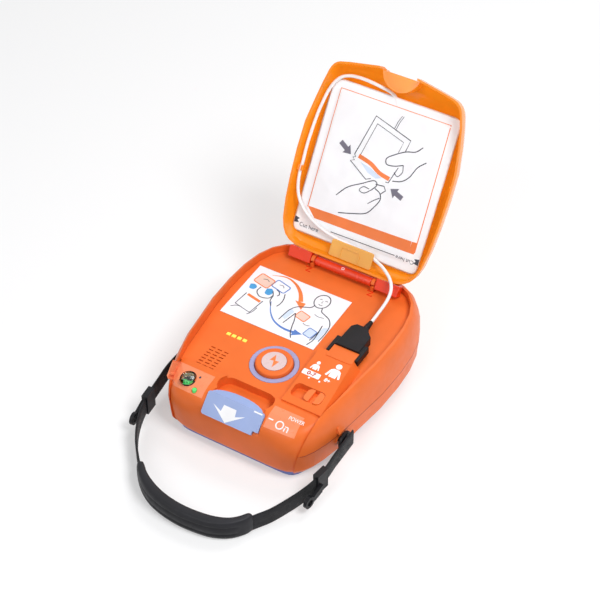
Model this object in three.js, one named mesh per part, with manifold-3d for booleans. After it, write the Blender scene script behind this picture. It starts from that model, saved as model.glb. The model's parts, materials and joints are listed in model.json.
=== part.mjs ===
// Public-access defibrillator with its lid open, the electrode pouch in the lid and the carry strap down.
// Millimetres, +Z up. The control deck faces up, the strap and the power lever are at -Y, the hinge at +Y.
// The origin is the centre of the base tray's underside. The lid is modelled closed, in the hinge's own
// frame, and its group is then turned open.
import * as THREE from 'three';
import { mergeVertices } from 'three/addons/utils/BufferGeometryUtils.js';
import Module from 'manifold-3d';

const wasm = await Module();
wasm.setup();

// ---------------------------------------------------------------- driving dimensions
const BODY_HALF_WIDTH = 103;      // widest half width of the body
const BODY_FRONT = 122;           // front of the body, from the origin
const BODY_BACK = 126;            // back of the body, from the origin
const RIM_HEIGHT = 76.3;          // top of the rim around the deck
const PARTING_HEIGHT = 36;        // joint line between lower case and outer shell
const BASE_HEIGHT = 7.5;          // underside of the lower case, on top of the base tray
const SHELL_WALL = 2.5;
const GAP = 0.3;                  // clearance between touching pieces
const RIM_WIDTH = 10;             // from the widest side in to the deck wall
const DECK_HEIGHT = 64;           // top of the deck above the origin
const DECK_TILT = 2 * Math.PI / 180;
const DECK_THICKNESS = 2.6;
const DECK_FRONT = 80;            // the deck meets the front panel here
const PANEL_HEIGHT = 64.6;        // top of the front panel
const SEAM_TOP = 80;              // half width of the front panel at the rim
const SEAM_BOTTOM = 66;           // half width of the front panel at the floor
const HINGE_Y = BODY_BACK - 26;
const HINGE_Z = RIM_HEIGHT - 1.3;
const HINGE_END_GAP = 6.1;        // between the hinge bar's end and the rim's wall
const LID_OPEN_ANGLE = 121.6 * Math.PI / 180;
const LID_RISE = 22;              // lid crown above the hinge axis
const LID_RIM_DROP = 5;           // lid rim below the hinge axis
const LID_WALL = 2.2;
const LID_FRONT_GAP = 9;          // lid's free edge behind the body's front
const BUTTON_RADIUS = 19.2;
const BUTTON_TRAVEL = 3;
const BATTERY_WIDTH = 92;
const BATTERY_HEIGHT = 24;
const BATTERY_LENGTH = 66;
const LEVER_HALF_WIDTH = 31.6;
const LEVER_TRAVEL = 9;
const STRAP_WIDTH = 20;           // webbing height as it stands on edge
const STRAP_THICKNESS = 2.2;
const STRAP_PIN_RADIUS = 4.5;
const LEAD_RADIUS = 1.75;

// ---------------------------------------------------------------- solids from three.js geometry
const solidOf = (geometry) => {
  const bare = geometry.clone();
  bare.deleteAttribute('normal');
  bare.deleteAttribute('uv');
  const merged = mergeVertices(bare, 1e-4);
  const triVerts = new Uint32Array(merged.index.array);
  const vertProperties = new Float32Array(merged.attributes.position.array);
  return new wasm.Manifold(new wasm.Mesh({ numProp: 3, vertProperties, triVerts }));
};

const geometryOf = (solid) => {
  const { vertProperties, triVerts, numProp } = solid.getMesh();
  const positions = [];
  for (let i = 0; i < vertProperties.length; i += numProp) {
    positions.push(vertProperties[i], vertProperties[i + 1], vertProperties[i + 2]);
  }
  const geometry = new THREE.BufferGeometry();
  geometry.setAttribute('position', new THREE.Float32BufferAttribute(positions, 3));
  geometry.setIndex(Array.from(triVerts));
  return geometry;
};

const cut = (body, ...tools) => tools.reduce((rest, tool) => rest.subtract(tool), body);
const join = (first, ...others) => others.reduce((sum, other) => sum.add(other), first);
const common = (first, ...others) => others.reduce((shared, other) => shared.intersect(other), first);

const block = (x0, x1, y0, y1, z0, z1) => {
  const box = new THREE.BoxGeometry(x1 - x0, y1 - y0, z1 - z0);
  return solidOf(box.translate((x0 + x1) / 2, (y0 + y1) / 2, (z0 + z1) / 2));
};

// a cylinder along z from z0 to z1, centred on x, y
const post = (x, y, z0, z1, radius, sides = 24) => {
  const cylinder = new THREE.CylinderGeometry(radius, radius, z1 - z0, sides);
  return solidOf(cylinder.rotateX(Math.PI / 2).translate(x, y, (z0 + z1) / 2));
};

// a cylinder along x from x0 to x1, centred on y, z
const axle = (x0, x1, y, z, radius, sides = 24) => {
  const cylinder = new THREE.CylinderGeometry(radius, radius, x1 - x0, sides);
  return solidOf(cylinder.rotateZ(Math.PI / 2).translate((x0 + x1) / 2, y, z));
};

const outline = (points) => new THREE.Shape(points.map(([x, y]) => new THREE.Vector2(x, y)));

// a plan outline (x, y) raised from z0 to z1
const raise = (shape, z0, z1, curveSegments = 6) => {
  const extruded = new THREE.ExtrudeGeometry(shape, { depth: z1 - z0, bevelEnabled: false, curveSegments });
  return extruded.translate(0, 0, z0);
};
const slab = (shape, z0, z1, curveSegments) => solidOf(raise(shape, z0, z1, curveSegments));

// a side outline of (y, z) points carried from x0 to x1
const prismX = (points, x0, x1) => {
  const extruded = raise(outline(points), 0, x1 - x0);
  return solidOf(extruded.rotateX(Math.PI / 2).rotateZ(Math.PI / 2).translate(x0, 0, 0));
};

// a front outline of (x, z) points carried from y0 to y1
const prismY = (points, y0, y1) => {
  const extruded = raise(outline(points), 0, y1 - y0);
  return solidOf(extruded.rotateX(Math.PI / 2).translate(0, y1, 0));
};

const roundedRect = (x0, x1, y0, y1, radius) => {
  const shape = new THREE.Shape();
  shape.moveTo(x0 + radius, y0);
  shape.lineTo(x1 - radius, y0);
  shape.absarc(x1 - radius, y0 + radius, radius, -Math.PI / 2, 0);
  shape.lineTo(x1, y1 - radius);
  shape.absarc(x1 - radius, y1 - radius, radius, 0, Math.PI / 2);
  shape.lineTo(x0 + radius, y1);
  shape.absarc(x0 + radius, y1 - radius, radius, Math.PI / 2, Math.PI);
  shape.lineTo(x0, y0 + radius);
  shape.absarc(x0 + radius, y0 + radius, radius, Math.PI, 1.5 * Math.PI);
  return shape;
};

// a closed skin over rings of equal length, each a list of Vector3, with a fan on each end
const loft = (rings) => {
  const count = rings[0].length;
  const positions = rings.flat().flatMap((point) => point.toArray());
  const total = (ring) => ring.reduce((sum, point) => sum.clone().add(point), new THREE.Vector3());
  const centre = (ring) => total(ring).divideScalar(count);
  positions.push(...centre(rings[0]).toArray(), ...centre(rings.at(-1)).toArray());
  const firstCentre = rings.length * count;
  const index = [];
  for (let i = 0; i < count; i += 1) {
    const next = (i + 1) % count;
    for (let r = 0; r < rings.length - 1; r += 1) {
      const [a, b] = [r * count + i, r * count + next];
      index.push(a, b, b + count, a, b + count, a + count);
    }
    const top = (rings.length - 1) * count;
    index.push(firstCentre, next, i, firstCentre + 1, top + i, top + next);
  }
  const geometry = new THREE.BufferGeometry();
  geometry.setAttribute('position', new THREE.Float32BufferAttribute(positions, 3));
  geometry.setIndex(index);
  return solidOf(geometry);
};

// ---------------------------------------------------------------- the body's form
const RING_STEPS = 9;             // steps in each quarter of a plan outline
const FAR = 260;                  // beyond every piece
const ease = (t) => t * t * (3 - 2 * t);
const planAngles = [];
for (let quarter = 0; quarter < 4; quarter += 1) {
  for (let i = 0; i < RING_STEPS; i += 1) {
    planAngles.push((quarter + ease(i / RING_STEPS)) * Math.PI / 2);
  }
}
const signedPower = (value, power) => Math.sign(value) * Math.abs(value) ** power;

const WAIST_Y = 38;               // the sides are widest here
const SIDE_BOW = 0.00095;         // how fast the sides draw in away from the waist
const RIM_BOW = 0.00083;          // the same for the deck wall inside the rim
const FRONT_SQUARENESS = 9;
const BACK_SQUARENESS = 4.6;
const TRAY_SQUARENESS = 16;       // of the base tray's front corners
const TRAY_INSET = 0.8;           // of the base tray from the sole's outline
const BACK_RIM = RIM_WIDTH + 1;   // the rim is wider behind the hinge
const bow = (y, amount) => amount * (y - WAIST_Y) ** 2;
const halfWidthAt = (y) => BODY_HALF_WIDTH - bow(y, SIDE_BOW);
const deckWallAt = (y) => BODY_HALF_WIDTH - RIM_WIDTH - bow(y, RIM_BOW);

// one point of a plan outline with the given reaches to the front and back and half width at y
const planPoint = (angle, front, back, widthAt, squareness = FRONT_SQUARENESS) => {
  const [c, s] = [Math.cos(angle), Math.sin(angle)];
  const power = 2 / (s < 0 ? squareness : BACK_SQUARENESS);
  const y = signedPower(s, power) * (s < 0 ? front : back);
  return [signedPower(c, power) * widthAt(y), y];
};

// half the width of the space inside the rim, at one y behind the middle
const deckHalfWidthAt = (y) => {
  const share = y / (BODY_BACK - BACK_RIM);
  return deckWallAt(y) * (1 - share ** BACK_SQUARENESS) ** (1 / BACK_SQUARENESS);
};

// the plan of the space inside the rim, drawn in by an inset
const deckPlan = (inset) => outline(planAngles.map((angle) => {
  const widthAt = (y) => deckWallAt(y) - inset;
  return planPoint(angle, BODY_FRONT, BODY_BACK - BACK_RIM - inset, widthAt);
}));

// the plan of the sole, drawn in by an inset from the widest outline
const solePlan = (inset) => outline(planAngles.map((angle) => {
  const widthAt = (y) => halfWidthAt(y) - SOLE.side - inset;
  const [front, back] = [BODY_FRONT - SOLE.front - inset, BODY_BACK - SOLE.back - inset];
  return planPoint(angle, front, back, widthAt, TRAY_SQUARENESS);
}));

const SHOULDER = { side: 12, front: 34, back: 13.5, roundness: 0.84 };
const SOLE = { side: 13, front: 10, back: 10, roundness: 0.55 };
const SOLE_STEPS = [90, 66, 34];
const SHOULDER_STEPS = [0, 22, 42, 58, 72, 90];
const NOSE_START = -20;           // the rim falls towards the front from here
const NOSE_DROP = 8;              // how far it has fallen at NOSE_END
const NOSE_END = -102;
const noseDrop = (y) => NOSE_DROP * (Math.max(0, NOSE_START - y) / (NOSE_START - NOSE_END)) ** 2;

// one level of the body: the plan at a given turn of the shoulder (upwards) or of the sole (downwards)
const bodyRing = (degrees, corner, reach, wall, drop) => {
  const turn = degrees * Math.PI / 180;
  const inward = 1 - Math.max(0, Math.cos(turn)) ** corner.roundness;
  const level = Math.sin(turn) ** corner.roundness;
  const [side, front, back] = [corner.side, corner.front, corner.back].map((inset) => wall + inset * inward);
  return planAngles.map((angle) => {
    const [x, y] = planPoint(angle, BODY_FRONT - front, BODY_BACK - back, (at) => halfWidthAt(at) - side);
    return new THREE.Vector3(x, y, PARTING_HEIGHT + reach * level - drop * level * noseDrop(y));
  });
};

const bodyForm = ({ wall = 0, top = RIM_HEIGHT, drop = 1, floor = BASE_HEIGHT }) => {
  const down = floor - PARTING_HEIGHT;
  const sole = SOLE_STEPS.map((degrees) => bodyRing(degrees, SOLE, down, wall, 0));
  const rise = top - PARTING_HEIGHT;
  const shoulder = SHOULDER_STEPS.map((degrees) => bodyRing(degrees, SHOULDER, rise, wall, drop));
  return loft([...sole, ...shoulder]);
};

// everything between the two front seams, wider at the top
const SEAM_TOP_HEIGHT = 70;
const frontWindow = (inset, y0, y1) => {
  const halfWidth = (z) => SEAM_BOTTOM + (SEAM_TOP - SEAM_BOTTOM) * z / SEAM_TOP_HEIGHT - inset;
  const top = 1.5 * SEAM_TOP_HEIGHT;
  const corners = [[-halfWidth(0), -1], [halfWidth(0), -1], [halfWidth(top), top], [-halfWidth(top), top]];
  return prismY(corners, y0, y1);
};

const PANEL_INSET = 1.5;          // the front panel lies this far inside the side shells
const PANEL_DROP = 0.1;           // share of the nose drop that the front panel follows
const panelForm = (wall, top, floor) => bodyForm({ wall: PANEL_INSET + wall, top, drop: PANEL_DROP, floor });
const bodyOuter = bodyForm({});
const CASE_FLOOR = BASE_HEIGHT + SHELL_WALL;
const bodyInner = bodyForm({ wall: SHELL_WALL, top: RIM_HEIGHT - SHELL_WALL, floor: CASE_FLOOR });
const panelOuter = panelForm(0, PANEL_HEIGHT, BASE_HEIGHT);
const panelInner = panelForm(SHELL_WALL, PANEL_HEIGHT - SHELL_WALL, 0);
const panelClear = panelForm(SHELL_WALL + GAP, PANEL_HEIGHT, 0);
const below = (z) => block(-FAR, FAR, -FAR, FAR, -1, z);
const above = (z) => block(-FAR, FAR, -FAR, FAR, z, FAR);
const behind = (y) => block(-FAR, FAR, y, FAR, -1, FAR);

// ---------------------------------------------------------------- the deck's own frame
// deck-local x and y lie on the deck's top face, and z stands out of it
const toDeck = (solid) => solidOf(geometryOf(solid).rotateX(DECK_TILT).translate(0, 0, DECK_HEIGHT));
const deckZ = (y) => DECK_HEIGHT + Math.tan(DECK_TILT) * y;
const UNDERSIDE = -DECK_THICKNESS;

const BUTTON = { x: 3, y: -42, proud: 4.6, flange: 2, collar: 2.6, bottom: -9 };
const RING = { outer: BUTTON_RADIUS + 5.6, inner: BUTTON_RADIUS + 0.6, thickness: 1.6, sunk: 1.2 };
const DISC = { radius: 12.5, thickness: 0.9, sunk: 0.6 };
const LABEL = { x0: -84, x1: 26, y0: -6, y1: 71, thickness: 0.6, sunk: 0.3 };
const LED = { x: -58.5, y: -29, pitch: 6.3, width: 4.4, depth: 3.8, count: 4 };
const SPEAKER = { x: -54.5, y: -65, radius: 17.5, depth: 9, columns: 3, rows: 7, pitchX: 7.4, pitchY: 4.2 };
const SPEAKER_SLOT = { length: 5.2, width: 1.3, shift: 0.8 };
const CONTROL_BOARD = { top: -16.4, thickness: 1.6, x0: -66, x1: 78, y0: -74, y1: -12, notch: [-36, -44] };
const DECK_POSTS = [[-61, -17], [-30, -70], [27, -70], [73, -70], [73, -17]];

// ---------------------------------------------------------------- the raised platform, at the deck's right
const PLATFORM = { x0: 35, x1: 82.4, front: -81, back: -8, frontTop: 66, backTop: 74, chamfer: 9.4 };
const SOCKET = { x0: 45, x1: 73, back: 3, wall: 1.8, depth: 11, height: 8 };
const MODE = { x0: 38, x1: 71, y0: -72.4, y1: -55.6, depth: 6.4, corner: 5, knob: 18.4, rib: 6.8, base: 1.8 };
const MODE_TRAVEL = MODE.x1 - MODE.x0 - MODE.knob - 2 * GAP;
const MODE_FOOT = { edge: 0.7, width: 3.6, halfDepth: 2, length: 5 };     // edge: from the knob's right side
const MODE_FOOT_X1 = MODE.x1 - GAP - MODE_FOOT.edge;
const MODE_MIDDLE = (MODE.y0 + MODE.y1) / 2;
const PLATFORM_WALL = 2.4;
const MODE_CELL_WALL = 2;
const platformZ = (y) => {
  const share = (y - PLATFORM.front) / (PLATFORM.back - PLATFORM.front);
  return PLATFORM.frontTop + (PLATFORM.backTop - PLATFORM.frontTop) * share;
};
const modeFloor = platformZ(MODE_MIDDLE) - MODE.depth;

const platformForm = (wall) => {
  const [front, back, top] = [PLATFORM.front + wall, PLATFORM.back - wall, PLATFORM.backTop - wall];
  const low = DECK_HEIGHT - 10 - 10 * wall;
  const side = [[front, low], [back, low], [back, top], [front, PLATFORM.frontTop - wall]];
  const [x0, x1] = [PLATFORM.x0 + wall, PLATFORM.x1 - wall];
  const foot = DECK_HEIGHT - 3;
  const face = [[x0, low], [x1, low], [x1, foot], [x1 - PLATFORM.chamfer, top], [x0, top]];
  return common(prismX(side, x0, x1), prismY(face, front, back));
};

const socketBlock = (wall) => {
  const [x0, x1] = [SOCKET.x0 + wall, SOCKET.x1 - wall];
  const [y0, y1] = [PLATFORM.back - 6 + wall, SOCKET.back - wall];
  return block(x0, x1, y0, y1, DECK_HEIGHT - 3, PLATFORM.backTop - wall);
};
const socketPlace = (gap) => {
  const { x0, x1, back, wall, depth, height } = SOCKET;
  const z0 = PLATFORM.backTop - wall - height - gap;
  return block(x0 + wall - gap, x1 - wall + gap, back - depth - gap, back + gap, z0, z0 + height + 2 * gap);
};

// ---------------------------------------------------------------- lever, lens and finger recess
const LEVER = { y: -105, z: 64.6, slope: Math.PI / 4, length: 24, thickness: 3, radius: 3 };
const LEVER_STEM = { halfWidth: 6, y0: -22, y1: -16, depth: 8 };
const FLANGE = { halfWidth: 29, back: 9.4, top: -0.8, thickness: 2.4, overlap: 0.6 };
const FINGER = { halfWidth: 31, back: -77, front: -101, floor: 52, radius: 12, wall: 2.2 };
const LENS = { x: -59, y: -100, z: 62.2, radius: 7.2, dome: 2.4, skirt: 5, wall: 1 };
const READY = { x: -46.5, y: -108.5, radius: 2.3, top: 60.4, bottom: 50 };
const toLever = (solid) => solidOf(geometryOf(solid).rotateX(LEVER.slope).translate(0, LEVER.y, LEVER.z));

const leverPocket = () => {
  const half = LEVER_HALF_WIDTH + 2 * GAP;
  const floor = -LEVER.thickness - GAP;
  return toLever(block(-half, half, -LEVER.length - 2 * GAP, FAR / 2, floor, FAR / 2));
};
const leverBacking = () => {
  const half = LEVER_HALF_WIDTH + SHELL_WALL;
  const top = -LEVER.thickness;
  return toLever(block(-half, half, -LEVER.length - 2, 0, top - SHELL_WALL - GAP, top));
};
const leverSlot = () => {
  const { halfWidth, y0, y1 } = LEVER_STEM;
  return toLever(block(-halfWidth - GAP, halfWidth + GAP, y0 - GAP, y1 + LEVER_TRAVEL + GAP, -20, 0));
};
// the shelf behind the lever's top edge, a half disc in plan, grown by a gap and by the way it moves back
const SHELF_STEPS = 12;
const shelfShape = (gap, moved) => outline(Array.from({ length: SHELF_STEPS + 1 }, (_, i) => {
  const turn = i * Math.PI / SHELF_STEPS;
  const y = LEVER.y - FLANGE.overlap + (FLANGE.back + FLANGE.overlap) * Math.sin(turn);
  return [(FLANGE.halfWidth + 2 * gap) * Math.cos(turn), y + (i % SHELF_STEPS ? 2 * gap + moved : -gap)];
}));
const shelfPlace = () => {
  const sunk = FLANGE.thickness - FLANGE.top;
  return slab(shelfShape(GAP, sunk + GAP), LEVER.z - sunk - 1.4 * GAP, FAR);
};
const fingerShape = (wall) => {
  const { halfWidth, front, back, radius } = FINGER;
  return roundedRect(-halfWidth - wall, halfWidth + wall, front - wall, back + wall, radius + wall);
};

// ---------------------------------------------------------------- battery bay, at the back
const BATTERY_Z = BASE_HEIGHT + SHELL_WALL + GAP;
const BATTERY_Y = BODY_BACK - BATTERY_LENGTH;
const BAY_ROOF = BATTERY_Z + BATTERY_HEIGHT + GAP;
const CONTACTS = { halfWidth: 14, height: 12, length: 10, entry: 2.4 };
const LATCH = { halfWidth: 9, height: 8, depth: 5.2, travel: 2 };
const BOARD = { z: BASE_HEIGHT + SHELL_WALL + 4.5, x: 64, y0: -88, thickness: 1.6 };
const BOARD_BACK = BATTERY_Y - SHELL_WALL - CONTACTS.length + 2;
const BOARD_TOP = BOARD.z + BOARD.thickness;
const BOARD_POSTS = [[-58, -80], [58, -80], [-58, BOARD_BACK - 6], [58, BOARD_BACK - 6]];
const CASE_SCREWS = [[-70, -74], [70, -74], [-78, 26], [78, 26], [-64, BODY_BACK - 34], [64, BODY_BACK - 34]];
const SCREW = { radius: 1.8, head: 3.4, headHeight: 2, sunk: 1, length: 16 };

// ---------------------------------------------------------------- strap pivots, on the body's sides
const PIN = { y: -66, z: PARTING_HEIGHT - 7.5, shank: 3.2, head: 6.2, headLength: 1.4, inside: 12, seat: 6.4 };
const SIDE_X = halfWidthAt(PIN.y);
const EYE = { x0: SIDE_X + 2.4, thickness: 3.4, radius: STRAP_WIDTH / 2, clearance: 0.35 };

const LUG = { halfWidth: 5.4, height: 8, proud: 1.8, sunk: 4 };            // moulded above each strap's end

// one lug on the outer shell's side, sloping in towards its top
function makeLug(side) {
  const z0 = PIN.z + EYE.radius + 2 * EYE.clearance;
  const [inner, outer] = [SIDE_X - LUG.sunk, SIDE_X + LUG.proud];
  const [edge, top] = [z0 + LUG.height / 4, z0 + LUG.height];
  const face = [[inner, z0], [outer, z0], [outer, edge], [SIDE_X - 1, top], [inner, top]];
  const placed = side > 0 ? face : face.map(([x, z]) => [-x, z]).reverse();
  return prismY(placed, PIN.y - LUG.halfWidth, PIN.y + LUG.halfWidth);
}

function makeOuterShell() {
  const solidRim = cut(above(54), slab(deckPlan(0), -1, FAR)).intersect(slab(deckPlan(-SHELL_WALL), -1, FAR));
  const seamWalls = frontWindow(-SHELL_WALL, -FAR, -DECK_FRONT + 6);
  const hollow = cut(bodyInner, solidRim, seamWalls);
  const aboveFloor = toDeck(block(-FAR, FAR, -FAR, FAR, UNDERSIDE - GAP, FAR));
  const overDeck = common(slab(deckPlan(0), -1, FAR), aboveFloor);
  const throughLedge = slab(deckPlan(5), -1, FAR);
  const underLedge = common(slab(deckPlan(0), -1, FAR), below(57));
  const shell = common(bodyOuter, above(PARTING_HEIGHT + GAP / 2));
  const window = frontWindow(0, -FAR, -DECK_FRONT + 6);
  const opened = cut(shell, hollow, overDeck, throughLedge, underLedge, window);
  return join(opened, cut(makeLug(1), bodyInner), cut(makeLug(-1), bodyInner));
}

function makeLowerCase() {
  const apronPlace = cut(frontWindow(0, -FAR, -DECK_FRONT), panelClear);
  const shell = cut(common(bodyOuter, below(PARTING_HEIGHT - GAP / 2)), bodyInner, apronPlace);
  const half = BATTERY_WIDTH / 2 + GAP;
  const bayFront = BATTERY_Y - GAP;
  const inside = common(bodyForm({ wall: SHELL_WALL / 2 }), below(PARTING_HEIGHT - GAP / 2));
  const bayWidth = half + SHELL_WALL;
  const bayWalls = common(inside, block(-bayWidth, bayWidth, bayFront - SHELL_WALL, FAR, 0, FAR));
  const bay = block(-half, half, bayFront, FAR, BATTERY_Z - GAP, BAY_ROOF);
  const { halfWidth, height } = CONTACTS;
  const middle = BATTERY_Z + BATTERY_HEIGHT / 2;
  const contactsHole = block(-halfWidth - GAP, halfWidth + GAP, bayFront - FAR / 20, bayFront + 1,
    middle - height / 2 - GAP, middle + height / 2 + GAP);
  const boardPosts = BOARD_POSTS.map(([x, y]) => post(x, y, BASE_HEIGHT, BOARD.z - GAP, 4, 12));
  const screwPosts = CASE_SCREWS.map(([x, y]) => post(x, y, BASE_HEIGHT, SCREW.length + 3, 4.6, 12));
  const screwHoles = CASE_SCREWS.map(([x, y]) => post(x, y, 0, SCREW.length + 1, SCREW.radius + GAP, 10));
  const seats = [1, -1].map((side) => {
    const ends = [side * (SIDE_X - PIN.inside), side * (SIDE_X - 1)].sort((a, b) => a - b);
    return axle(...ends, PIN.y, PIN.z, PIN.seat, 16);
  });
  const pinHole = axle(-FAR, FAR, PIN.y, PIN.z, PIN.shank + GAP, 16);
  const solid = join(shell, bayWalls, ...boardPosts, ...screwPosts, ...seats);
  return cut(solid, bay, contactsHole, ...screwHoles, pinHole);
}

function makeBaseTray() {
  const top = BASE_HEIGHT - GAP;
  const hollow = slab(solePlan(TRAY_INSET + SHELL_WALL), SHELL_WALL, FAR);
  const tray = cut(slab(solePlan(TRAY_INSET), 0, top), hollow);
  const posts = CASE_SCREWS.map(([x, y]) => post(x, y, 0, top, 5, 12));
  const headTop = SCREW.sunk + SCREW.headHeight + GAP;
  const heads = CASE_SCREWS.map(([x, y]) => post(x, y, -1, headTop, SCREW.head + GAP, 12));
  const shanks = CASE_SCREWS.map(([x, y]) => post(x, y, -1, FAR, SCREW.radius + GAP, 10));
  return cut(join(tray, ...posts), ...heads, ...shanks);
}

function makeControlDeck() {
  const between = frontWindow(GAP, -FAR, -DECK_FRONT);
  const apron = cut(common(panelOuter, between), panelInner);
  const riserFoot = deckZ(-DECK_FRONT) - DECK_THICKNESS;
  const riser = common(panelOuter, between, block(-FAR, FAR, -DECK_FRONT - 2.5, FAR, riserFoot, FAR));
  const plate = common(toDeck(block(-FAR, FAR, -FAR, FAR, UNDERSIDE, 0)), slab(deckPlan(GAP), -1, FAR));
  const floor = common(plate, behind(-DECK_FRONT - 2), slab(deckPlan(GAP), -1, FAR));
  const posts = DECK_POSTS.map(([x, y]) => toDeck(post(x, y, CONTROL_BOARD.top + GAP, -1, 3, 10)));
  const fingerCup = slab(fingerShape(FINGER.wall), FINGER.floor - FINGER.wall, PANEL_HEIGHT - 1);
  const bossRadius = LENS.radius + SHELL_WALL;
  const lensBoss = common(panelOuter, post(LENS.x, LENS.y, LENS.z - LENS.skirt - 1, FAR, bossRadius, 20));
  const backing = common(panelOuter, leverBacking());
  const platform = common(join(platformForm(0), socketBlock(0)), slab(deckPlan(GAP), -1, FAR));
  const belowDeck = common(fingerCup, below(deckZ(FINGER.back)));
  const solid = join(apron, riser, floor, ...posts, belowDeck, lensBoss, backing);
  const hooks = [-1, 1].map((side) => makeHook(side * HOOK_X));
  const withPlatform = join(cut(solid, platformForm(PLATFORM_WALL)), makePlatform(platform), ...hooks);
  return cut(withPlatform, ...deckHoles());
}

function makePlatform(platform) {
  const wall = MODE_CELL_WALL;
  const modeCell = common(platform, block(MODE.x0 - wall, MODE.x1 + wall, MODE.y0 - wall, MODE.y1 + wall,
    modeFloor - wall, FAR));
  const shell = cut(platform, platformForm(PLATFORM_WALL), below(deckZ(PLATFORM.front) - DECK_THICKNESS));
  const socketCell = common(platform, block(SOCKET.x0, SOCKET.x1, -FAR, SOCKET.back, DECK_HEIGHT, FAR));
  return join(shell, modeCell, common(socketCell, behind(SOCKET.back - SOCKET.depth - 2)));
}

function deckHoles() {
  const { x, y } = BUTTON;
  const buttonHole = toDeck(post(x, y, -20, 10, RING.inner, 28));
  const ringSeat = toDeck(post(x, y, -RING.sunk - GAP, 10, RING.outer + GAP, 28));
  const labelSeat = toDeck(block(LABEL.x0 - GAP, LABEL.x1 + GAP, LABEL.y0 - GAP, LABEL.y1 + GAP,
    -LABEL.sunk - GAP, 5));
  const ledHoles = ledPlaces().map(([ledX, ledY]) => toDeck(block(ledX - LED.width / 2 - GAP,
    ledX + LED.width / 2 + GAP, ledY - LED.depth / 2 - GAP, ledY + LED.depth / 2 + GAP, -10, 10)));
  const modeWell = slab(roundedRect(MODE.x0, MODE.x1, MODE.y0, MODE.y1, MODE.corner), modeFloor, FAR);
  const modeSlit = modeFootWay(GAP, modeFloor - MODE_FOOT.length - 2 * GAP);
  const finger = slab(fingerShape(0), FINGER.floor, FAR);
  const lensHole = post(LENS.x, LENS.y, 40, FAR, LENS.radius + GAP, 24);
  const readyHole = post(READY.x, READY.y, 40, FAR, READY.radius + GAP, 16);
  return [buttonHole, ringSeat, labelSeat, ...ledHoles, ...speakerSlots(), modeWell, modeSlit,
    socketPlace(GAP), finger, shelfPlace(), leverPocket(), leverSlot(), lensHole, readyHole];
}

// the way that the slider's foot takes, grown by a gap, from one level up
const modeFootWay = (gap, low) => {
  const half = MODE_FOOT.halfDepth + gap;
  const x0 = MODE_FOOT_X1 - MODE_FOOT.width - MODE_TRAVEL - gap;
  return block(x0, MODE_FOOT_X1 + gap, MODE_MIDDLE - half, MODE_MIDDLE + half, low, FAR);
};

const ledPlaces = () => Array.from({ length: LED.count }, (_, i) => [LED.x + i * LED.pitch, LED.y]);

function speakerSlots() {
  const slots = [];
  for (let column = 0; column < SPEAKER.columns; column += 1) {
    for (let row = 0; row < SPEAKER.rows; row += 1) {
      const x = SPEAKER.x + (column - 1) * SPEAKER.pitchX + (row - 3) * SPEAKER_SLOT.shift * 0.25;
      const y = SPEAKER.y + (row - 3) * SPEAKER.pitchY;
      const [halfLength, halfWidth] = [SPEAKER_SLOT.length / 2, SPEAKER_SLOT.width / 2];
      slots.push(toDeck(block(x - halfLength, x + halfLength, y - halfWidth, y + halfWidth, -5, 2)));
    }
  }
  return slots;
}

// ---------------------------------------------------------------- hinge: deck hooks and the lid's bar
const HOOK_X = 35.5;
const HINGE_ROD = 2.9;
const HOOK = { width: 3.6, wall: 2.2, mouth: 3.6 };
const BARREL = { radius: 4.8, halfLength: 32.8 };
const KNUCKLE = { inner: 38.4, back: 5, front: 7, low: 4.6, high: 5 };
const KNUCKLE_WALL = 3;
const HINGE_HALF_LENGTH = deckHalfWidthAt(HINGE_Y + KNUCKLE.back) - HINGE_END_GAP;

function makeHook(x) {
  const [x0, x1] = [x - HOOK.width / 2, x + HOOK.width / 2];
  const radius = HINGE_ROD + GAP + HOOK.wall;
  const eye = join(axle(x0, x1, HINGE_Y, HINGE_Z, radius, 20),
    block(x0, x1, HINGE_Y - radius, HINGE_Y + radius, deckZ(HINGE_Y) - 1, HINGE_Z));
  const bore = axle(x0 - 1, x1 + 1, HINGE_Y, HINGE_Z, HINGE_ROD + GAP, 20);
  const half = HOOK.mouth / 2;
  const mouth = block(x0 - 1, x1 + 1, HINGE_Y - FAR, HINGE_Y, HINGE_Z - half, HINGE_Z + half);
  return cut(eye, bore, mouth);
}

function makeHingeBar() {
  const rod = axle(-HINGE_HALF_LENGTH + 1, HINGE_HALF_LENGTH - 1, 0, 0, HINGE_ROD, 20);
  const barrel = axle(-BARREL.halfLength, BARREL.halfLength, 0, 0, BARREL.radius, 20);
  const knuckles = [-1, 1].map((side) => {
    const [x0, x1] = [side * KNUCKLE.inner, side * HINGE_HALF_LENGTH].sort((a, b) => a - b);
    const pocketBack = 2 - KNUCKLE.front;
    const pocket = block(x0 + KNUCKLE_WALL, x1 - KNUCKLE_WALL, -FAR, pocketBack, -KNUCKLE_WALL / 2, FAR);
    return cut(block(x0, x1, -KNUCKLE.front, KNUCKLE.back, -KNUCKLE.low, KNUCKLE.high), pocket);
  });
  return join(rod, barrel, ...knuckles);
}

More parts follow.
